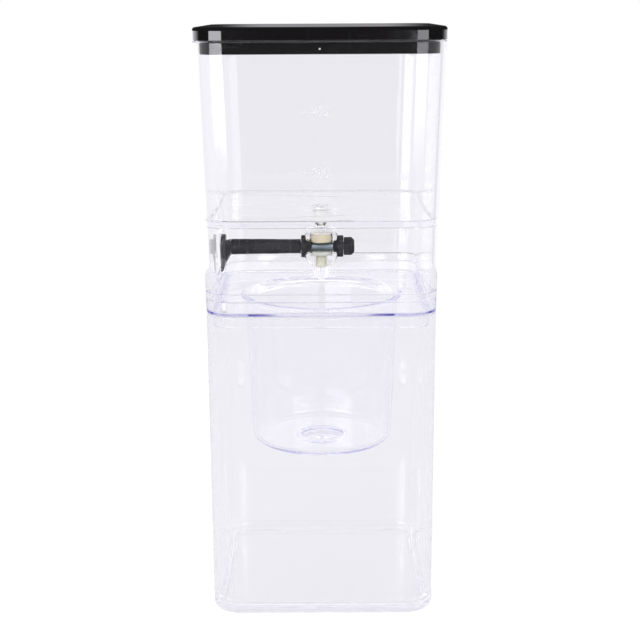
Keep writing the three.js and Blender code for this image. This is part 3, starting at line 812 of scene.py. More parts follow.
class COFFEE_OT_water_tank(bpy.types.Operator):
    """Square tank whose walls run on below its floor as a skirt with a finger arch on the left"""

    bl_idname = "coffee.water_tank"
    bl_label = "Water tank"

    # Points up each foot of the arch and over it, steps round its edge, half the stretch of wall that
    # its columns take, and how far the square rows of the floor stop short of the corners' centres
    FOOT_POINTS, ARC_POINTS, EDGE_STEPS = 5, 29, 4
    STRETCH, SHORT = 30 * MM, 1.5 * MM

    def arch_line(self, radius, foot_z):
        """The arch's edge, from its back foot over to its front foot: Y, Z, outward Y and outward Z."""
        feet, ones = np.linspace(foot_z, SPINDLE_Z, self.FOOT_POINTS, endpoint=False), np.ones(self.FOOT_POINTS)
        angle = np.linspace(0, math.pi, self.ARC_POINTS)
        out_y = np.concatenate([ones, np.cos(angle), -ones])
        out_z = np.concatenate([0 * ones, np.sin(angle), 0 * ones])
        z = np.concatenate([feet, SPINDLE_Z + radius * np.sin(angle), feet[::-1]])
        return radius * out_y, z, out_y, out_z

    def execute(self, context):
        stack, sizes, cup = context.scene.stack_sizes, context.scene.tank_sizes, context.scene.cup_sizes
        soft, wall, edge, arch = stack.soft_edge, stack.wall, sizes.arch_edge, sizes.arch_radius
        lip_z, under_z, joint_z = TANK_FOOT, sizes.floor_under, CUP_TOP + stack.stack_gap
        floor_z, boss_z = under_z + sizes.floor, under_z - sizes.boss_depth
        lip_inset = cup.lap_rim + sizes.slip

        edge_y, edge_z, out_y, out_z = self.arch_line(arch, joint_z + 4 * soft)
        run = outer_half(under_z) - stack.corner_radius
        path = square_path(CORNER_STEPS, np.linspace(self.STRETCH, -self.STRETCH, len(edge_y) + 2) / run)
        count = len(path[0])
        lip = rounded([
            (wall, lip_z + 6 * soft, 0),
            (wall, lip_z, soft),
            (lip_inset, lip_z, soft),
            (lip_inset, joint_z, soft / 2),
            (0, joint_z, soft),
            (0, joint_z + 4 * soft, 0),
        ])
        first = 2 * (CORNER_STEPS + 3)
        last = first + len(edge_y) + 1
        along = path[1].copy()
        along[first] = arch / (outer_half(joint_z) - stack.corner_radius)
        along[last] = -along[first]
        lip_rows = square_rows(lip, (path[0], along, path[2]))

        # Over the arch the lip's rows run round its edge instead, from the inner wall to the outer one
        flat_rows = len(lip) - 2 * (self.EDGE_STEPS + 1)
        turn = np.linspace(0, QUARTER, self.EDGE_STEPS + 1)
        start, end = edge * (1 - np.cos(turn)), edge * (1 - np.sin(turn))
        inset = np.concatenate([wall - start, np.linspace(wall - edge, edge, flat_rows + 2)[1:-1], end])
        away = np.concatenate([end, np.zeros(flat_rows), start])[:, None]
        over_y, over_z = edge_y + away * out_y, edge_z + away * out_z
        over_x = inset[:, None] - outer_half(over_z)
        lip_rows[:, first + 1:last] = np.stack([over_x, over_y, over_z], axis=-1)

        outside = rounded([
            (0, under_z, 0),
            (0, TANK_RIM, stack.rim_round),
            (wall, TANK_RIM, stack.rim_round),
            (wall, floor_z, sizes.inner_round),
            (stack.corner_radius - self.SHORT, floor_z, 0),
        ], steps=5)
        bore = rounded([
            (4 * sizes.boss_radius, floor_z, 0),
            (sizes.bore_radius + sizes.bore_chamfer, floor_z, soft),
            (sizes.bore_radius, floor_z - sizes.bore_chamfer, soft),
            (sizes.bore_radius, boss_z, soft / 2),
            (sizes.boss_radius, boss_z, soft),
            (sizes.boss_radius, under_z, 2 * soft),
            (4 * sizes.boss_radius, under_z, 0),
        ])
        below = rounded([
            (stack.corner_radius - self.SHORT, under_z, 0),
            (wall, under_z, sizes.skirt_round - 0.2 * MM),
            (wall, under_z - 1.001 * sizes.skirt_round, 0),
        ], steps=5)
        rows = np.concatenate([
            lip_rows, square_rows(outside, path), circle_rows(bore, count), square_rows(below, path),
        ])
        mesh = skin("water_tank_shell", rows, True)
        place("water_tank_shell", mesh, shell_plastic(), "tank", "water_tank")
        return {"FINISHED"}


class COFFEE_OT_lid(bpy.types.Operator):
    """Gloss black cap and the open-bottomed plug inside it, with an air vent at the front"""

    bl_idname = "coffee.lid"
    bl_label = "Lid"

    # The vent's cutter reaches from the middle of the lid past its front
    VENT_REACH = 60 * MM

    def execute(self, context):
        stack, sizes = context.scene.stack_sizes, context.scene.lid_sizes
        soft, middle, path = stack.soft_edge, stack.corner_radius, square_path(CORNER_STEPS)
        ceiling, inset = LID_TOP - sizes.top, sizes.plug_inset - sizes.fit
        cap = rounded([
            (middle, ceiling, 0),
            (inset, ceiling, sizes.inner_round - sizes.fit),
            (inset, LID_FOOT, soft / 2),
            (0, LID_FOOT, soft),
            (0, LID_TOP, sizes.top_round),
            (middle, LID_TOP, 0),
        ], steps=6)
        mesh = skin("lid_cap_shell", capped(square_rows(cap, path), (0, 0, ceiling), (0, 0, LID_TOP)), False)
        gloss = material("gloss black plastic", gloss_black, CAP_IOR)
        place("lid_cap_shell", mesh, gloss, "lid", "lid_cap")

        under_z, inner = PLUG_TOP - sizes.plug_wall, sizes.plug_inset + sizes.plug_wall
        plug = rounded([
            (middle, under_z, 0),
            (inner, under_z, soft),
            (inner, PLUG_FOOT, soft),
            (sizes.plug_inset, PLUG_FOOT, soft),
            (sizes.plug_inset, PLUG_TOP, sizes.inner_round),
            (middle, PLUG_TOP, 0),
        ], steps=5)
        mesh = skin("lid_plug_shell", capped(square_rows(plug, path), (0, 0, under_z), (0, 0, PLUG_TOP)), False)
        radius = sizes.vent_radius
        vent = np.array([(0, 0), (radius, 0), (radius, self.VENT_REACH), (0, self.VENT_REACH)])
        vent = circle_rows(vent, VENT_COLUMNS)
        vent = np.stack([vent[..., 0], -vent[..., 2], vent[..., 1] + PLUG_FOOT + sizes.vent_height], axis=-1)
        mesh = combined(mesh, "DIFFERENCE", skin("vent", vent, False))
        plain = material("plain black plastic", gloss_black, PLUG_IOR)
        place("lid_plug_shell", mesh, plain, "lid", "lid_plug")
        return {"FINISHED"}


def spindle_cutter(sizes, spindle, past_body=2 * MM, past_nuts=0.3 * MM):
    """Everything cut through the valve along the spindle: flats, nose seat and bores."""
    end_x, flat_x = sizes.body_radius + past_body, sizes.body_radius - sizes.flat_inset
    flat_radius = max(spindle.collar_radius, spindle.gland_radius) + past_nuts
    nose_x = spindle.nose_length - flat_x
    bore, spigot = spindle.core_radius + sizes.fit, spindle.spigot_radius + sizes.fit
    inner = sizes.seal_radius + sizes.ring_gap
    return lying("spindle_cutter", [
        (0, -end_x), (flat_radius, -end_x), (flat_radius, -flat_x),
        (spindle.nose_radius + sizes.fit, -flat_x), (spindle.nose_tip + sizes.fit, nose_x),
        (bore, nose_x), (bore, inner), (spigot, inner), (spigot, flat_x),
        (flat_radius, flat_x), (flat_radius, end_x), (0, end_x),
    ], SEAL_COLUMNS)


class COFFEE_OT_valve(bpy.types.Operator):
    """Clear valve body with its seals, sleeve and rubber rings"""

    bl_idname = "coffee.valve"
    bl_label = "Valve"

    SOFT, SUPPORT, RING_POINTS = 0.15 * MM, 0.05 * MM, 20

    def hollow(self, bore, radius, low, high):
        """Outline of a ring with soft edges, which starts and ends in its bore."""
        soft = self.SOFT
        return rounded([
            (bore, low + 2 * soft, 0), (bore, low, soft), (radius, low, 2 * soft),
            (radius, high, 2 * soft), (bore, high, soft), (bore, low + 3 * soft, 0),
        ], steps=3, support=self.SUPPORT)

    def ring(self, turn, name, centre, section, node):
        """Rubber ring: a circle carried round an axis."""
        angle = 2 * math.pi * np.arange(self.RING_POINTS) / self.RING_POINTS
        outline = np.array(centre) + section * np.stack([np.cos(angle), np.sin(angle)], axis=-1)
        rubber = material("black rubber", silicone, bpy.context.scene.finishes.rubber, 0.45, 0.0)
        place(name, turn(name, outline, SEAL_COLUMNS, True), rubber, "tank", node)

    def execute(self, context):
        sizes, spindle = context.scene.valve_sizes, context.scene.spindle_sizes
        finishes, fit, soft = context.scene.finishes, sizes.fit, self.SOFT
        top, bottom = SPINDLE_Z + sizes.body_rise, SPINDLE_Z - sizes.body_drop
        tip, shoulder = SPINDLE_Z - sizes.nozzle_drop, SPINDLE_Z - sizes.shoulder_drop
        groove_low = sizes.groove_level - sizes.groove_height / 2
        groove_high = sizes.groove_level + sizes.groove_height / 2
        groove_in = sizes.neck_radius - sizes.groove_depth
        upper_z = SPINDLE_Z + spindle.core_radius + fit
        lower_z = SPINDLE_Z - spindle.core_radius - fit - sizes.lower_seal
        sleeve_top = lower_z - fit
        sleeve_z = sleeve_top - sizes.sleeve_height
        ceiling, chamber, pocket = upper_z + sizes.upper_seal + fit, sizes.seal_radius + fit, sizes.sleeve_radius + fit
        outline = rounded([
            (sizes.nozzle_bore, tip + 2 * soft, 0),
            (sizes.nozzle_bore, tip, soft),
            (sizes.nozzle_tip, tip, 2 * soft),
            (sizes.nozzle_top, shoulder, 2 * soft),
            (sizes.shoulder_radius, shoulder, 2 * soft),
            (sizes.body_radius, bottom, 2 * soft),
            (sizes.body_radius, top - sizes.body_bevel, soft),
            (sizes.body_radius - sizes.body_bevel, top, soft),
            (sizes.neck_radius, top, soft),
            (sizes.neck_radius, groove_low, soft),
            (groove_in, groove_low, soft),
            (groove_in, groove_high, soft),
            (sizes.neck_radius, groove_high, soft),
            (sizes.neck_radius, BODY_TOP, soft),
            (sizes.neck_bore, BODY_TOP, soft),
            (sizes.neck_bore, ceiling, 0),
            (chamber, ceiling, 0),
            (chamber, sleeve_top, 0),
            (pocket, sleeve_top, 0),
            (pocket, sleeve_z - fit, 0),
            (sizes.nozzle_bore, sleeve_z - fit, 0),
            (sizes.nozzle_bore, tip + 3 * soft, 0),
        ], steps=3, support=self.SUPPORT)
        mesh = combined(upright("body", outline, BODY_COLUMNS), "DIFFERENCE", spindle_cutter(sizes, spindle))
        plastic = material("valve clear plastic", clear_plastic, finishes.valve, finishes.valve_density, VALVE_IOR, 0.1)
        place("valve_body_shell", mesh, plastic, "tank", "valve_body")

        cream = material("cream silicone", silicone, finishes.cream, 0.4, 0.25)
        frosted = material("frosted silicone", silicone, finishes.frosted, 0.5, 0.4)
        olive = material("sleeve silicone", silicone, finishes.olive, 0.45, 0.3)
        for node, low, height, look, slot in (
            ("upper_seal", upper_z, sizes.upper_seal, cream, "cream_seal"),
            ("lower_seal", lower_z, sizes.lower_seal, frosted, "frosted_seal"),
        ):
            disc = self.hollow(sizes.seal_bore, sizes.seal_radius, low, low + height)
            mesh = combined(upright(node, disc, SEAL_COLUMNS), "DIFFERENCE", spindle_cutter(sizes, spindle))
            place(f"{node}_disc", mesh, look, "tank", node)
        tube = self.hollow(sizes.sleeve_bore, sizes.sleeve_radius, sleeve_z, sleeve_top)
        mesh = upright("outlet_sleeve_tube", tube, SLEEVE_COLUMNS)
        place("outlet_sleeve_tube", mesh, olive, "tank", "outlet_sleeve")

        gap = sizes.ring_gap
        section = (sizes.groove_depth + fit) / 2 - gap
        self.ring(upright, "neck_ring_round", (groove_in + gap + section, sizes.groove_level), section, "neck_ring")
        section = (spindle.spigot_radius - spindle.core_radius) / 2 - gap
        face_x = sizes.body_radius - sizes.flat_inset + fit
        centre = (spindle.core_radius + gap + section, face_x - spindle.spigot_length - gap - section)
        self.ring(lying, "spindle_ring_round", centre, section, "spindle_ring")
        return {"FINISHED"}


class COFFEE_OT_spindle(bpy.types.Operator):
    """Nuts, metal core, stem and end cap, turned about the spindle's axis"""

    bl_idname = "coffee.spindle"
    bl_label = "Spindle and nuts"

    # Softness of the edges, distance of the points beside them, and how much thinner the tang is than
    # the core
    SOFT, SUPPORT, NUT_SUPPORT, TANG_SLIP = 0.2 * MM, 0.05 * MM, 0.08 * MM, 0.3 * MM
    HOLE_REACH, WAIST_POINTS = 5 * MM, 25

    def execute(self, context):
        valve, sizes, soft = context.scene.valve_sizes, context.scene.spindle_sizes, self.SOFT
        bore, face_x = sizes.core_radius + valve.fit, valve.body_radius - valve.flat_inset + valve.fit
        black = material("textured black plastic", textured_black, 1250.0, 0.62)

        def turned(name, node, body, outline, endless):
            points = rounded(outline, support=self.NUT_SUPPORT)
            place(name, lying(name, points, NUT_COLUMNS, endless), black, body, node)

        collar_x, nose_x = face_x + sizes.collar_width, sizes.nose_length - face_x
        turned("packing_nut_turned", "packing_nut", "tank", [
            (bore, -collar_x + 2 * soft, 0), (bore, -collar_x, soft / 2), (sizes.collar_radius, -collar_x, 2 * soft),
            (sizes.collar_radius, -face_x, 1.5 * soft), (sizes.nose_radius, -face_x, soft),
            (sizes.nose_tip, nose_x, soft), (bore, nose_x, soft / 2), (bore, -collar_x + 3 * soft, 0),
        ], True)
        gland_x, spigot_x = face_x + sizes.gland_width, face_x - sizes.spigot_length
        turned("gland_nut_turned", "gland_nut", "tank", [
            (bore, face_x, 0), (bore, spigot_x, soft / 2), (sizes.spigot_radius, spigot_x, soft),
            (sizes.spigot_radius, face_x, soft / 2), (sizes.gland_radius, face_x, 1.5 * soft),
            (sizes.gland_radius, gland_x, 2 * soft), (bore, gland_x, soft / 2), (bore, face_x + soft, 0),
        ], True)

        radius = sizes.core_radius
        bar = rounded([
            (0, CORE_LEFT, 0), (radius, CORE_LEFT, soft), (radius, CORE_RIGHT, soft), (0, CORE_RIGHT, 0),
        ], steps=3, support=self.SUPPORT)
        radius, low, high = sizes.core_hole, SPINDLE_Z - self.HOLE_REACH, SPINDLE_Z + self.HOLE_REACH
        hole = upright("hole", [(0, low), (radius, low), (radius, high), (0, high)], HOLE_COLUMNS, False)
        mesh = combined(lying("core", bar, SLEEVE_COLUMNS), "DIFFERENCE", hole)
        steel = material("turned steel", turned_steel, context.scene.finishes.steel)
        place("spindle_core_rod", mesh, steel, "spindle", "spindle_core")

        # The stem thins a little along a cosine curve towards the valve, and has a tang at the lever
        inner, far, socket = LEVER_INNER + valve.fit, STEM_RIGHT, CORE_LEFT - valve.fit
        tang_radius = sizes.core_radius - self.TANG_SLIP
        along = np.linspace(0, 1, self.WAIST_POINTS)
        waist = sizes.stem_radius + (sizes.stem_waist - sizes.stem_radius) * (1 - np.cos(math.pi * along)) / 2
        shaft = np.stack([waist, inner + 2 * soft + (far - inner - 4 * soft) * along], axis=-1)
        start = rounded([
            (0, STEM_LEFT, 0), (tang_radius, STEM_LEFT, soft), (tang_radius, inner, soft / 2),
            (sizes.stem_radius, inner, 2 * soft), (sizes.stem_radius, inner + 2.2 * soft, 0),
        ], support=self.SUPPORT)
        end = rounded([
            (sizes.stem_waist, far - 2.2 * soft, 0), (sizes.stem_waist, far, 2 * soft), (bore, far, soft / 2),
            (bore, socket, soft / 2), (0, socket, 0),
        ], support=self.SUPPORT)
        mesh = lying("stem_turned", np.concatenate([start, shaft[2:-2], end]), NUT_COLUMNS)
        place("stem_turned", mesh, black, "spindle", "stem")

        radius, chamfer, inside_x = sizes.cap_radius, sizes.cap_chamfer, CORE_RIGHT + valve.fit
        turned("end_cap_turned", "end_cap", "spindle", [
            (0, inside_x, 0), (bore, inside_x, soft / 2), (bore, CAP_LEFT, soft / 2), (radius, CAP_LEFT, 2 * soft),
            (radius, CAP_RIGHT - chamfer, 3 * soft), (radius - chamfer, CAP_RIGHT, 4 * soft), (0, CAP_RIGHT, 0),
        ], False)
        return {"FINISHED"}


class COFFEE_OT_lever(bpy.types.Operator):
    """Thumb lever: a thin round-topped blade and the gusset that joins it to the stem"""

    bl_idname = "coffee.lever"
    bl_label = "Lever"

    # Half the angle of the sole's arc, points over sole and arch, and shares of the way out on a face
    SOLE_ANGLE, SOLE_POINTS, ARCH_POINTS, SHARES = 0.2, 7, 33, (0.33, 0.66, 0.98)
    GUSSET_STEPS, GUSSET_COLUMNS, SOCKET_SLIP = 13, 64, 0.1 * MM

    def execute(self, context):
        sizes, spindle = context.scene.lever_sizes, context.scene.spindle_sizes
        mesh = combined(self.blade(sizes), "UNION", self.gusset(sizes, spindle.stem_radius))
        tang, hole = STEM_LEFT - context.scene.valve_sizes.fit, spindle.core_radius - self.SOCKET_SLIP
        socket = [(0, tang), (hole, tang), (hole, LEVER_INNER + MM), (0, LEVER_INNER + MM)]
        mesh = combined(mesh, "DIFFERENCE", lying("socket", socket, SOCKET_COLUMNS))
        plastic = material("smooth black plastic", textured_black, 2400.0, 0.20)
        place("lever_blade", mesh, plastic, "spindle", "lever")
        return {"FINISHED"}

    def blade(self, sizes):
        """Rows over the outer face, round its edge, across the side and over the inner face. Each is
        given by its inset, its share of the way out from the middle, and its depth from a face. The
        outer face leans in towards the top by the square of the height, and the thickness changes in
        straight lines between the levels."""
        top, reach, edge, half = sizes.top_radius, sizes.reach, sizes.edge_round, sizes.tip_width / 2
        foot = -math.sqrt(reach**2 - half**2)
        arch = [(top * math.cos(a), top * math.sin(a), 0) for a in np.linspace(0, math.pi, self.ARCH_POINTS)]
        sole = np.linspace(-self.SOLE_ANGLE, self.SOLE_ANGLE, self.SOLE_POINTS)
        sole = [(reach * math.sin(a), -reach * math.cos(a), 0) for a in sole]
        outline = rounded(
            [*sole[3:], (half, foot, sizes.corner), *arch, (-half, foot, sizes.corner), *sole[:4]],
            steps=8, support=0.15 * MM,
        )[:-1]
        along = np.roll(outline, -1, axis=0) - np.roll(outline, 1, axis=0)
        inward = np.stack([-along[:, 1], along[:, 0]], axis=-1)
        inward /= np.linalg.norm(inward, axis=1, keepdims=True)
        turn = np.linspace(0, QUARTER, 5)
        lift, inset = edge * (1 - np.cos(turn)), edge * (1 - np.sin(turn))
        rows = [(edge, share, 0, 0) for share in self.SHARES]
        rows += [(i, 1, d, 0) for i, d in zip(inset, lift)]
        rows += [(i, 1, -d, 1) for i, d in zip(inset[::-1], lift[::-1])]
        rows += [(edge, share, 0, 1) for share in self.SHARES[::-1]]
        levels = [-reach, -sizes.gusset_drop, 0, top]
        grid = []
        for step, share, depth, side in rows:
            line = share * (outline + inward * step)
            height = line[:, 1]
            lean = sizes.bow * np.clip((height + reach / 4) / (top + reach / 4), 0, 1) ** 2
            thick = np.interp(height, levels, [sizes.blade_tip, sizes.blade, sizes.blade, sizes.blade_top])
            x = LEVER_FACE + lean + depth + side * thick
            grid.append(np.stack([x, line[:, 0], height + SPINDLE_Z], axis=-1))
        grid = np.array(grid)
        return skin("blade", capped(grid, grid[0].mean(axis=0), grid[-1].mean(axis=0)), False)

    def gusset(self, sizes, stem_radius):
        """Its section is a square with round corners, that changes along a cosine curve from a tall
        one in the blade to a round one as wide as the stem."""
        share = np.linspace(0, 1, self.GUSSET_STEPS)
        blend = (1 - np.cos(math.pi * share)) / 2
        wide = sizes.gusset_width / 2
        upper = sizes.gusset_rise + (stem_radius - sizes.gusset_rise) * share
        lower = sizes.gusset_drop + (stem_radius - sizes.gusset_drop) * share
        width = wide + (stem_radius - wide) * blend
        way = np.linspace(LEVER_FACE + 0.9 * sizes.blade, LEVER_INNER, self.GUSSET_STEPS)
        x = np.concatenate([[LEVER_FACE + sizes.blade / 2], way])
        upper, lower, width = (np.concatenate([part[:1], part])[:, None] for part in (upper, lower, width))
        angle = 2 * math.pi * (np.arange(self.GUSSET_COLUMNS) + 0.5) / self.GUSSET_COLUMNS
        power = np.concatenate([[0.5], 0.5 + 0.5 * blend])[:, None]
        y = width * np.sign(np.cos(angle)) * np.abs(np.cos(angle)) ** power
        sine = np.sign(np.sin(angle)) * np.abs(np.sin(angle)) ** power
        z = np.where(sine > 0, upper, lower) * sine
        grid = np.stack([np.broadcast_to(x[:, None], y.shape), y, z + SPINDLE_Z], axis=-1)
        return skin("gusset", capped(grid, (x[0], 0, SPINDLE_Z), (x[-1], 0, SPINDLE_Z)), False)


class COFFEE_OT_marks(bpy.types.Operator):
    """Printed level marks on the front of the tank, in millilitres"""

    bl_idname = "coffee.marks"
    bl_label = "Level marks"

    FONT_PER_HEIGHT, LETTER_SPACE, INK_LIFT = 1.38, 1.12, 0.6

    def execute(self, context):
        sizes = context.scene.mark_sizes
        tilt = math.atan2(float(outer_half(sizes.upper) - outer_half(sizes.lower)), sizes.upper - sizes.lower)
        ink = material("printed ink", printed_ink, context.scene.finishes.ink)
        for text, z in (("200", sizes.lower), ("400", sizes.upper)):
            name = f"mark_{text}"
            curve = bpy.data.curves.new(name, "FONT")
            curve.body = text
            curve.size = self.FONT_PER_HEIGHT * sizes.height
            curve.space_character = self.LETTER_SPACE
            curve.extrude = sizes.ink / 2
            curve.align_y = "CENTER"
            words = bpy.data.objects.new(name, curve)
            context.collection.objects.link(words)
            view = context.evaluated_depsgraph_get()
            mesh = bpy.data.meshes.new_from_object(words.evaluated_get(view))
            bpy.data.objects.remove(words)
            work = bmesh.new()
            work.from_mesh(mesh)
            bmesh.ops.remove_doubles(work, verts=work.verts, dist=MERGED)
            bmesh.ops.scale(work, verts=work.verts, vec=(sizes.narrow, 1, 1))
            bmesh.ops.translate(work, verts=work.verts, vec=(sizes.dash + sizes.gap, 0, 0))
            dash = Matrix.Diagonal((sizes.dash, sizes.stroke, sizes.ink, 1))
            bmesh.ops.create_cube(work, size=1, matrix=Matrix.Translation((sizes.dash / 2, 0, 0)) @ dash)
            y = -float(outer_half(z)) - self.INK_LIFT * sizes.ink
            stand = Matrix.Translation((sizes.start, y, z)) @ Matrix.Rotation(QUARTER + tilt, 4, "X")
            bmesh.ops.transform(work, verts=work.verts, matrix=stand)
            bmesh.ops.recalc_face_normals(work, faces=work.faces)
            work.to_mesh(mesh)
            work.free()
            place(name, mesh, ink, "tank", None)
        return {"FINISHED"}


# Studio


def ways(tree):
    """Four masks of how a ray came: from the camera; straight through clear walls; mirrored by the
    last surface it met; and mirrored before it left a clear wall. A ray that scattered on its way
    has none of them."""
    light = add(tree, "ShaderNodeLightPath").outputs
    mirrored = Term(light["Glossy Depth"]).math("MINIMUM", 1.0)
    sharp = 1.0 - Term(light["Diffuse Depth"]).math("MINIMUM", 1.0)
    passed = Term(light["Is Transmission Ray"])
    through = passed * sharp
    glint = Term(light["Is Glossy Ray"]) * sharp * (1.0 - passed)
    return Term(light["Is Camera Ray"]), through * (1.0 - mirrored), glint, through * mirrored


class COFFEE_OT_studio(bpy.types.Operator):
    """White floor, even room light with soft boxes in its reflections, soft lamps and the camera"""

    bl_idname = "coffee.studio"
    bl_label = "Studio"

    # The camera: its frame, focal length and picture's centre in pixels, its sensor in millimetres, its
    # place in metres and its angles in degrees
    FRAME_WIDTH, FOCAL_LENGTH, PICTURE_CENTRE = 640, 1341.18, (321.409, 294.051)
    SENSOR_WIDTH, EYE = 36, (0, -0.572087, 0.251079)
    PITCH, YAW, ROLL = 12.09, -0.15, 0.31
    # Name, place, width, height and share of the power of each lamp, and the point they face
    LAMPS = (
        ("left soft lamp", (-0.75, -0.80, 0.75), 0.7, 0.9, 1.0),
        ("right soft lamp", (0.70, -0.85, 0.75), 0.7, 0.9, 1.0),
        ("top soft lamp", (0.0, 0.15, 1.25), 0.9, 0.9, 0.8),
    )
    LIT_POINT = (0, 0, 0.13)
    FLOOR_COLOUR, FLOOR_WHITE, FLOOR_Z = (0.9, 0.9, 0.91, 1), 1.05, -0.02 * MM
    FLOOR_RINGS, FLOOR_COLUMNS = 12, 96

    def execute(self, context):
        sizes = context.scene.studio
        self.room(context, sizes)
        self.floor(context, sizes)
        self.lamps(context, sizes)
        self.camera(context)
        context.scene.view_settings.view_transform = "Standard"
        cycles = context.scene.cycles
        cycles.max_bounces = cycles.transmission_bounces = cycles.glossy_bounces = CAUGHT_TURNS + 2
        cycles.use_denoising = True
        return {"FINISHED"}

    def room(self, context, sizes):
        """Light of the room by a ray's way and direction: its bearing is 0 towards the viewer and
        grows to the right, and its rise is 0 at the horizon, both in degrees."""
        world = bpy.data.worlds.new("studio room")
        context.scene.world = world
        world.use_nodes = True
        tree = world.node_tree
        seen, straight, glint, inside = ways(tree)
        split = add(tree, "ShaderNodeSeparateXYZ", Vector=term(tree, "ShaderNodeTexCoord", "Generated"))
        x, y, z = (Term(socket) for socket in split.outputs)
        bearing = x.math("ARCTAN2", y * -1.0).math("DEGREES")
        rise, turned = z.math("ARCSINE").math("DEGREES"), bearing.math("ABSOLUTE")

        # Soft boxes in front, the edges of the room at the sides, the horizon and the ceiling
        boxes = bearing.band(4.2, 41, 0.1) * sizes.right_box + bearing.band(-50, -6, 0.4) * sizes.left_box
        past_left, past_right = bearing.ramp(-94, -122), bearing.ramp(102, 138)
        over, above = rise.ramp(-0.7, 0.3), rise.ramp(50, 74)

        # What a polished surface mirrors: the boxes, the edges below the horizon and the far wall above it
        beside = past_left * sizes.left_edge + past_right * sizes.right_edge
        high = turned.ramp(175.2, 177.6) * over * sizes.far_wall
        on_gloss = (beside * (1.0 - over) + high).most(boxes * rise.band(-9, 1, 1.5)).most(sizes.dark)

        # What is mirrored inside clear walls: the backdrop, a share of the boxes, and a dim room in front
        far = past_left.most(past_right).most(above) * sizes.backdrop
        ahead = bearing.band(-13, 13, 3) * rise.band(-17, 7, 3)
        dim = ahead * (sizes.ahead - sizes.dim) + sizes.dim
        in_walls = (boxes * rise.band(-9, 26, 3) * sizes.box_share).most(far).most(dim)

        # What is seen straight through clear walls, and the even light that everything else gets
        straight_on = turned.ramp(75, 55) * (sizes.front - sizes.backdrop) + sizes.backdrop
        rest = (1.0 - (seen + straight + glint + inside)).most(0.0)
        strength = seen + straight * straight_on + glint * on_gloss + inside * in_walls + rest * sizes.room
        fill(tree.nodes["Background"], Color=mixed_colour(tree, seen, sizes.tone, (1, 1, 1)), Strength=strength)

    def floor(self, context, sizes):
        """White disc that glows a little under its shadow, in the backdrop's tone where it is seen
        through clear walls, and open from below. Radius is the first parameter and angle the second."""
        white = bpy.data.materials.new("white floor")
        white.use_nodes = True
        tree = white.node_tree
        tree.nodes.remove(tree.nodes["Principled BSDF"])

        def glowing(colour, strength):
            shadow = term(tree, "ShaderNodeBsdfDiffuse", Color=colour)
            glow = term(tree, "ShaderNodeEmission", Color=colour, Strength=strength)
            return mixed_shader(tree, sizes.floor_glow, shadow, glow)

        seen, straight, _, inside = ways(tree)
        plain = term(tree, "ShaderNodeBsdfDiffuse", Color=self.FLOOR_COLOUR)
        behind = glowing((*(sizes.ground * part for part in sizes.tone), 1), 1.0)
        through = mixed_shader(tree, straight.most(inside), plain, behind)
        shown = mixed_shader(tree, seen, through, glowing((1, 1, 1, 1), self.FLOOR_WHITE))
        underside = term(tree, "ShaderNodeNewGeometry", "Backfacing")
        fill(
            tree.nodes["Material Output"],
            Surface=mixed_shader(tree, underside, shown, term(tree, "ShaderNodeBsdfTransparent")),
        )
        shape = (self.FLOOR_RINGS, self.FLOOR_COLUMNS)
        radius = np.linspace(0.02, 1, self.FLOOR_RINGS)[:, None] * sizes.floor_radius
        angle = np.linspace(0, 2 * math.pi, self.FLOOR_COLUMNS, endpoint=False)
        rows = np.stack([radius * np.cos(angle), radius * np.sin(angle), np.full(shape, self.FLOOR_Z)], axis=-1)
        index = np.arange(rows[..., 0].size).reshape(shape)
        right = np.roll(index, -1, axis=1)
        faces = np.stack([index[:-1], index[1:], right[1:], right[:-1]], axis=-1).reshape(-1, 4).tolist()
        mesh = bpy.data.meshes.new("studio_floor")
        mesh.from_pydata(rows.reshape(-1, 3).tolist(), [], [index[0].tolist()] + faces)
        mesh.materials.append(white)
        floor = bpy.data.objects.new("studio_floor", mesh)
        context.collection.objects.link(floor)

    def lamps(self, context, sizes):
        for name, spot, wide, high, share in self.LAMPS:
            lamp = bpy.data.lights.new(name, "AREA")
            lamp.shape = "RECTANGLE"
            lamp.size, lamp.size_y = wide, high
            lamp.energy = sizes.lamp * share
            lamp_object = bpy.data.objects.new(name, lamp)
            aim = (Vector(self.LIT_POINT) - Vector(spot)).to_track_quat("-Z", "Y")
            lamp_object.matrix_world = Matrix.LocRotScale(Vector(spot), aim, None)
            lamp_object.visible_glossy = lamp_object.visible_camera = False
            context.collection.objects.link(lamp_object)

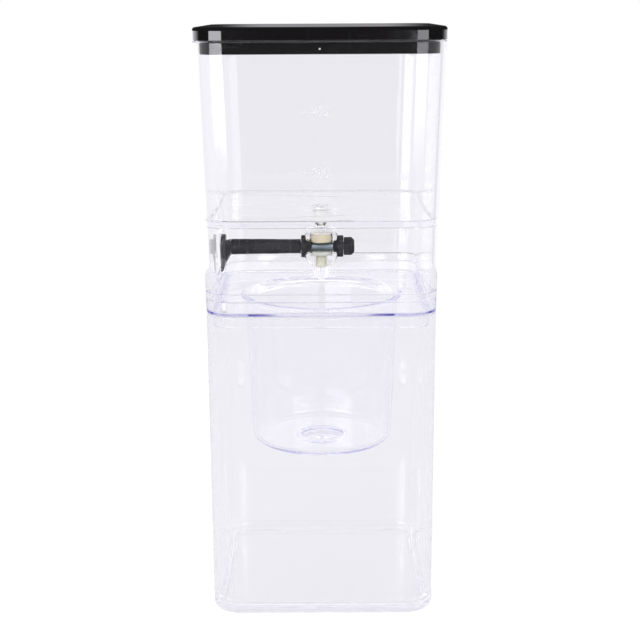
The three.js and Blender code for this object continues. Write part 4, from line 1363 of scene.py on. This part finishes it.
    def camera(self, context):
        pitch, yaw, roll = (math.radians(angle) for angle in (self.PITCH, self.YAW, self.ROLL))
        lens = bpy.data.cameras.new("camera")
        lens.sensor_width = self.SENSOR_WIDTH
        lens.lens = self.FOCAL_LENGTH / self.FRAME_WIDTH * self.SENSOR_WIDTH
        lens.shift_x = (self.FRAME_WIDTH / 2 - self.PICTURE_CENTRE[0]) / self.FRAME_WIDTH
        lens.shift_y = (self.PICTURE_CENTRE[1] - self.FRAME_WIDTH / 2) / self.FRAME_WIDTH
        lens.clip_start = 10 * MM
        eye = bpy.data.objects.new("camera", lens)
        stand = Matrix.Translation(self.EYE) @ Matrix.Rotation(QUARTER - pitch, 4, "X")
        eye.matrix_world = Matrix.Rotation(-yaw, 4, "Z") @ stand @ Matrix.Rotation(-roll, 4, "Z")
        context.collection.objects.link(eye)
        context.scene.camera = eye


OPERATORS = [
    COFFEE_OT_carafe, COFFEE_OT_filter_cup, COFFEE_OT_water_tank, COFFEE_OT_marks, COFFEE_OT_lid,
    COFFEE_OT_valve, COFFEE_OT_spindle, COFFEE_OT_lever, COFFEE_OT_studio,
]


class COFFEE_PT_panel(bpy.types.Panel):
    """Lists the pieces of the coffee maker"""

    bl_idname = "COFFEE_PT_panel"
    bl_label = "Coffee maker"
    bl_space_type = "VIEW_3D"
    bl_region_type = "UI"
    bl_category = "Coffee maker"

    def draw(self, context):
        for operator in OPERATORS:
            self.layout.operator(operator.bl_idname)
        for name in GROUPS:
            group = getattr(context.scene, name)
            box = self.layout.box()
            box.label(text=name.replace("_", " "))
            for key in group.__annotations__:
                box.prop(group, key)


def register():
    for name, group in GROUPS.items():
        bpy.utils.register_class(group)
        setattr(bpy.types.Scene, name, PointerProperty(type=group))
    for operator in OPERATORS:
        bpy.utils.register_class(operator)
    bpy.utils.register_class(COFFEE_PT_panel)


def unregister():
    bpy.utils.unregister_class(COFFEE_PT_panel)
    for operator in reversed(OPERATORS):
        bpy.utils.unregister_class(operator)
    for name, group in reversed(GROUPS.items()):
        delattr(bpy.types.Scene, name)
        bpy.utils.unregister_class(group)


def main():
    register()
    make_groups()
    for operator in OPERATORS:
        family, name = operator.bl_idname.split(".")
        getattr(getattr(bpy.ops, family), name)()


if __name__ == "__main__":
    main()
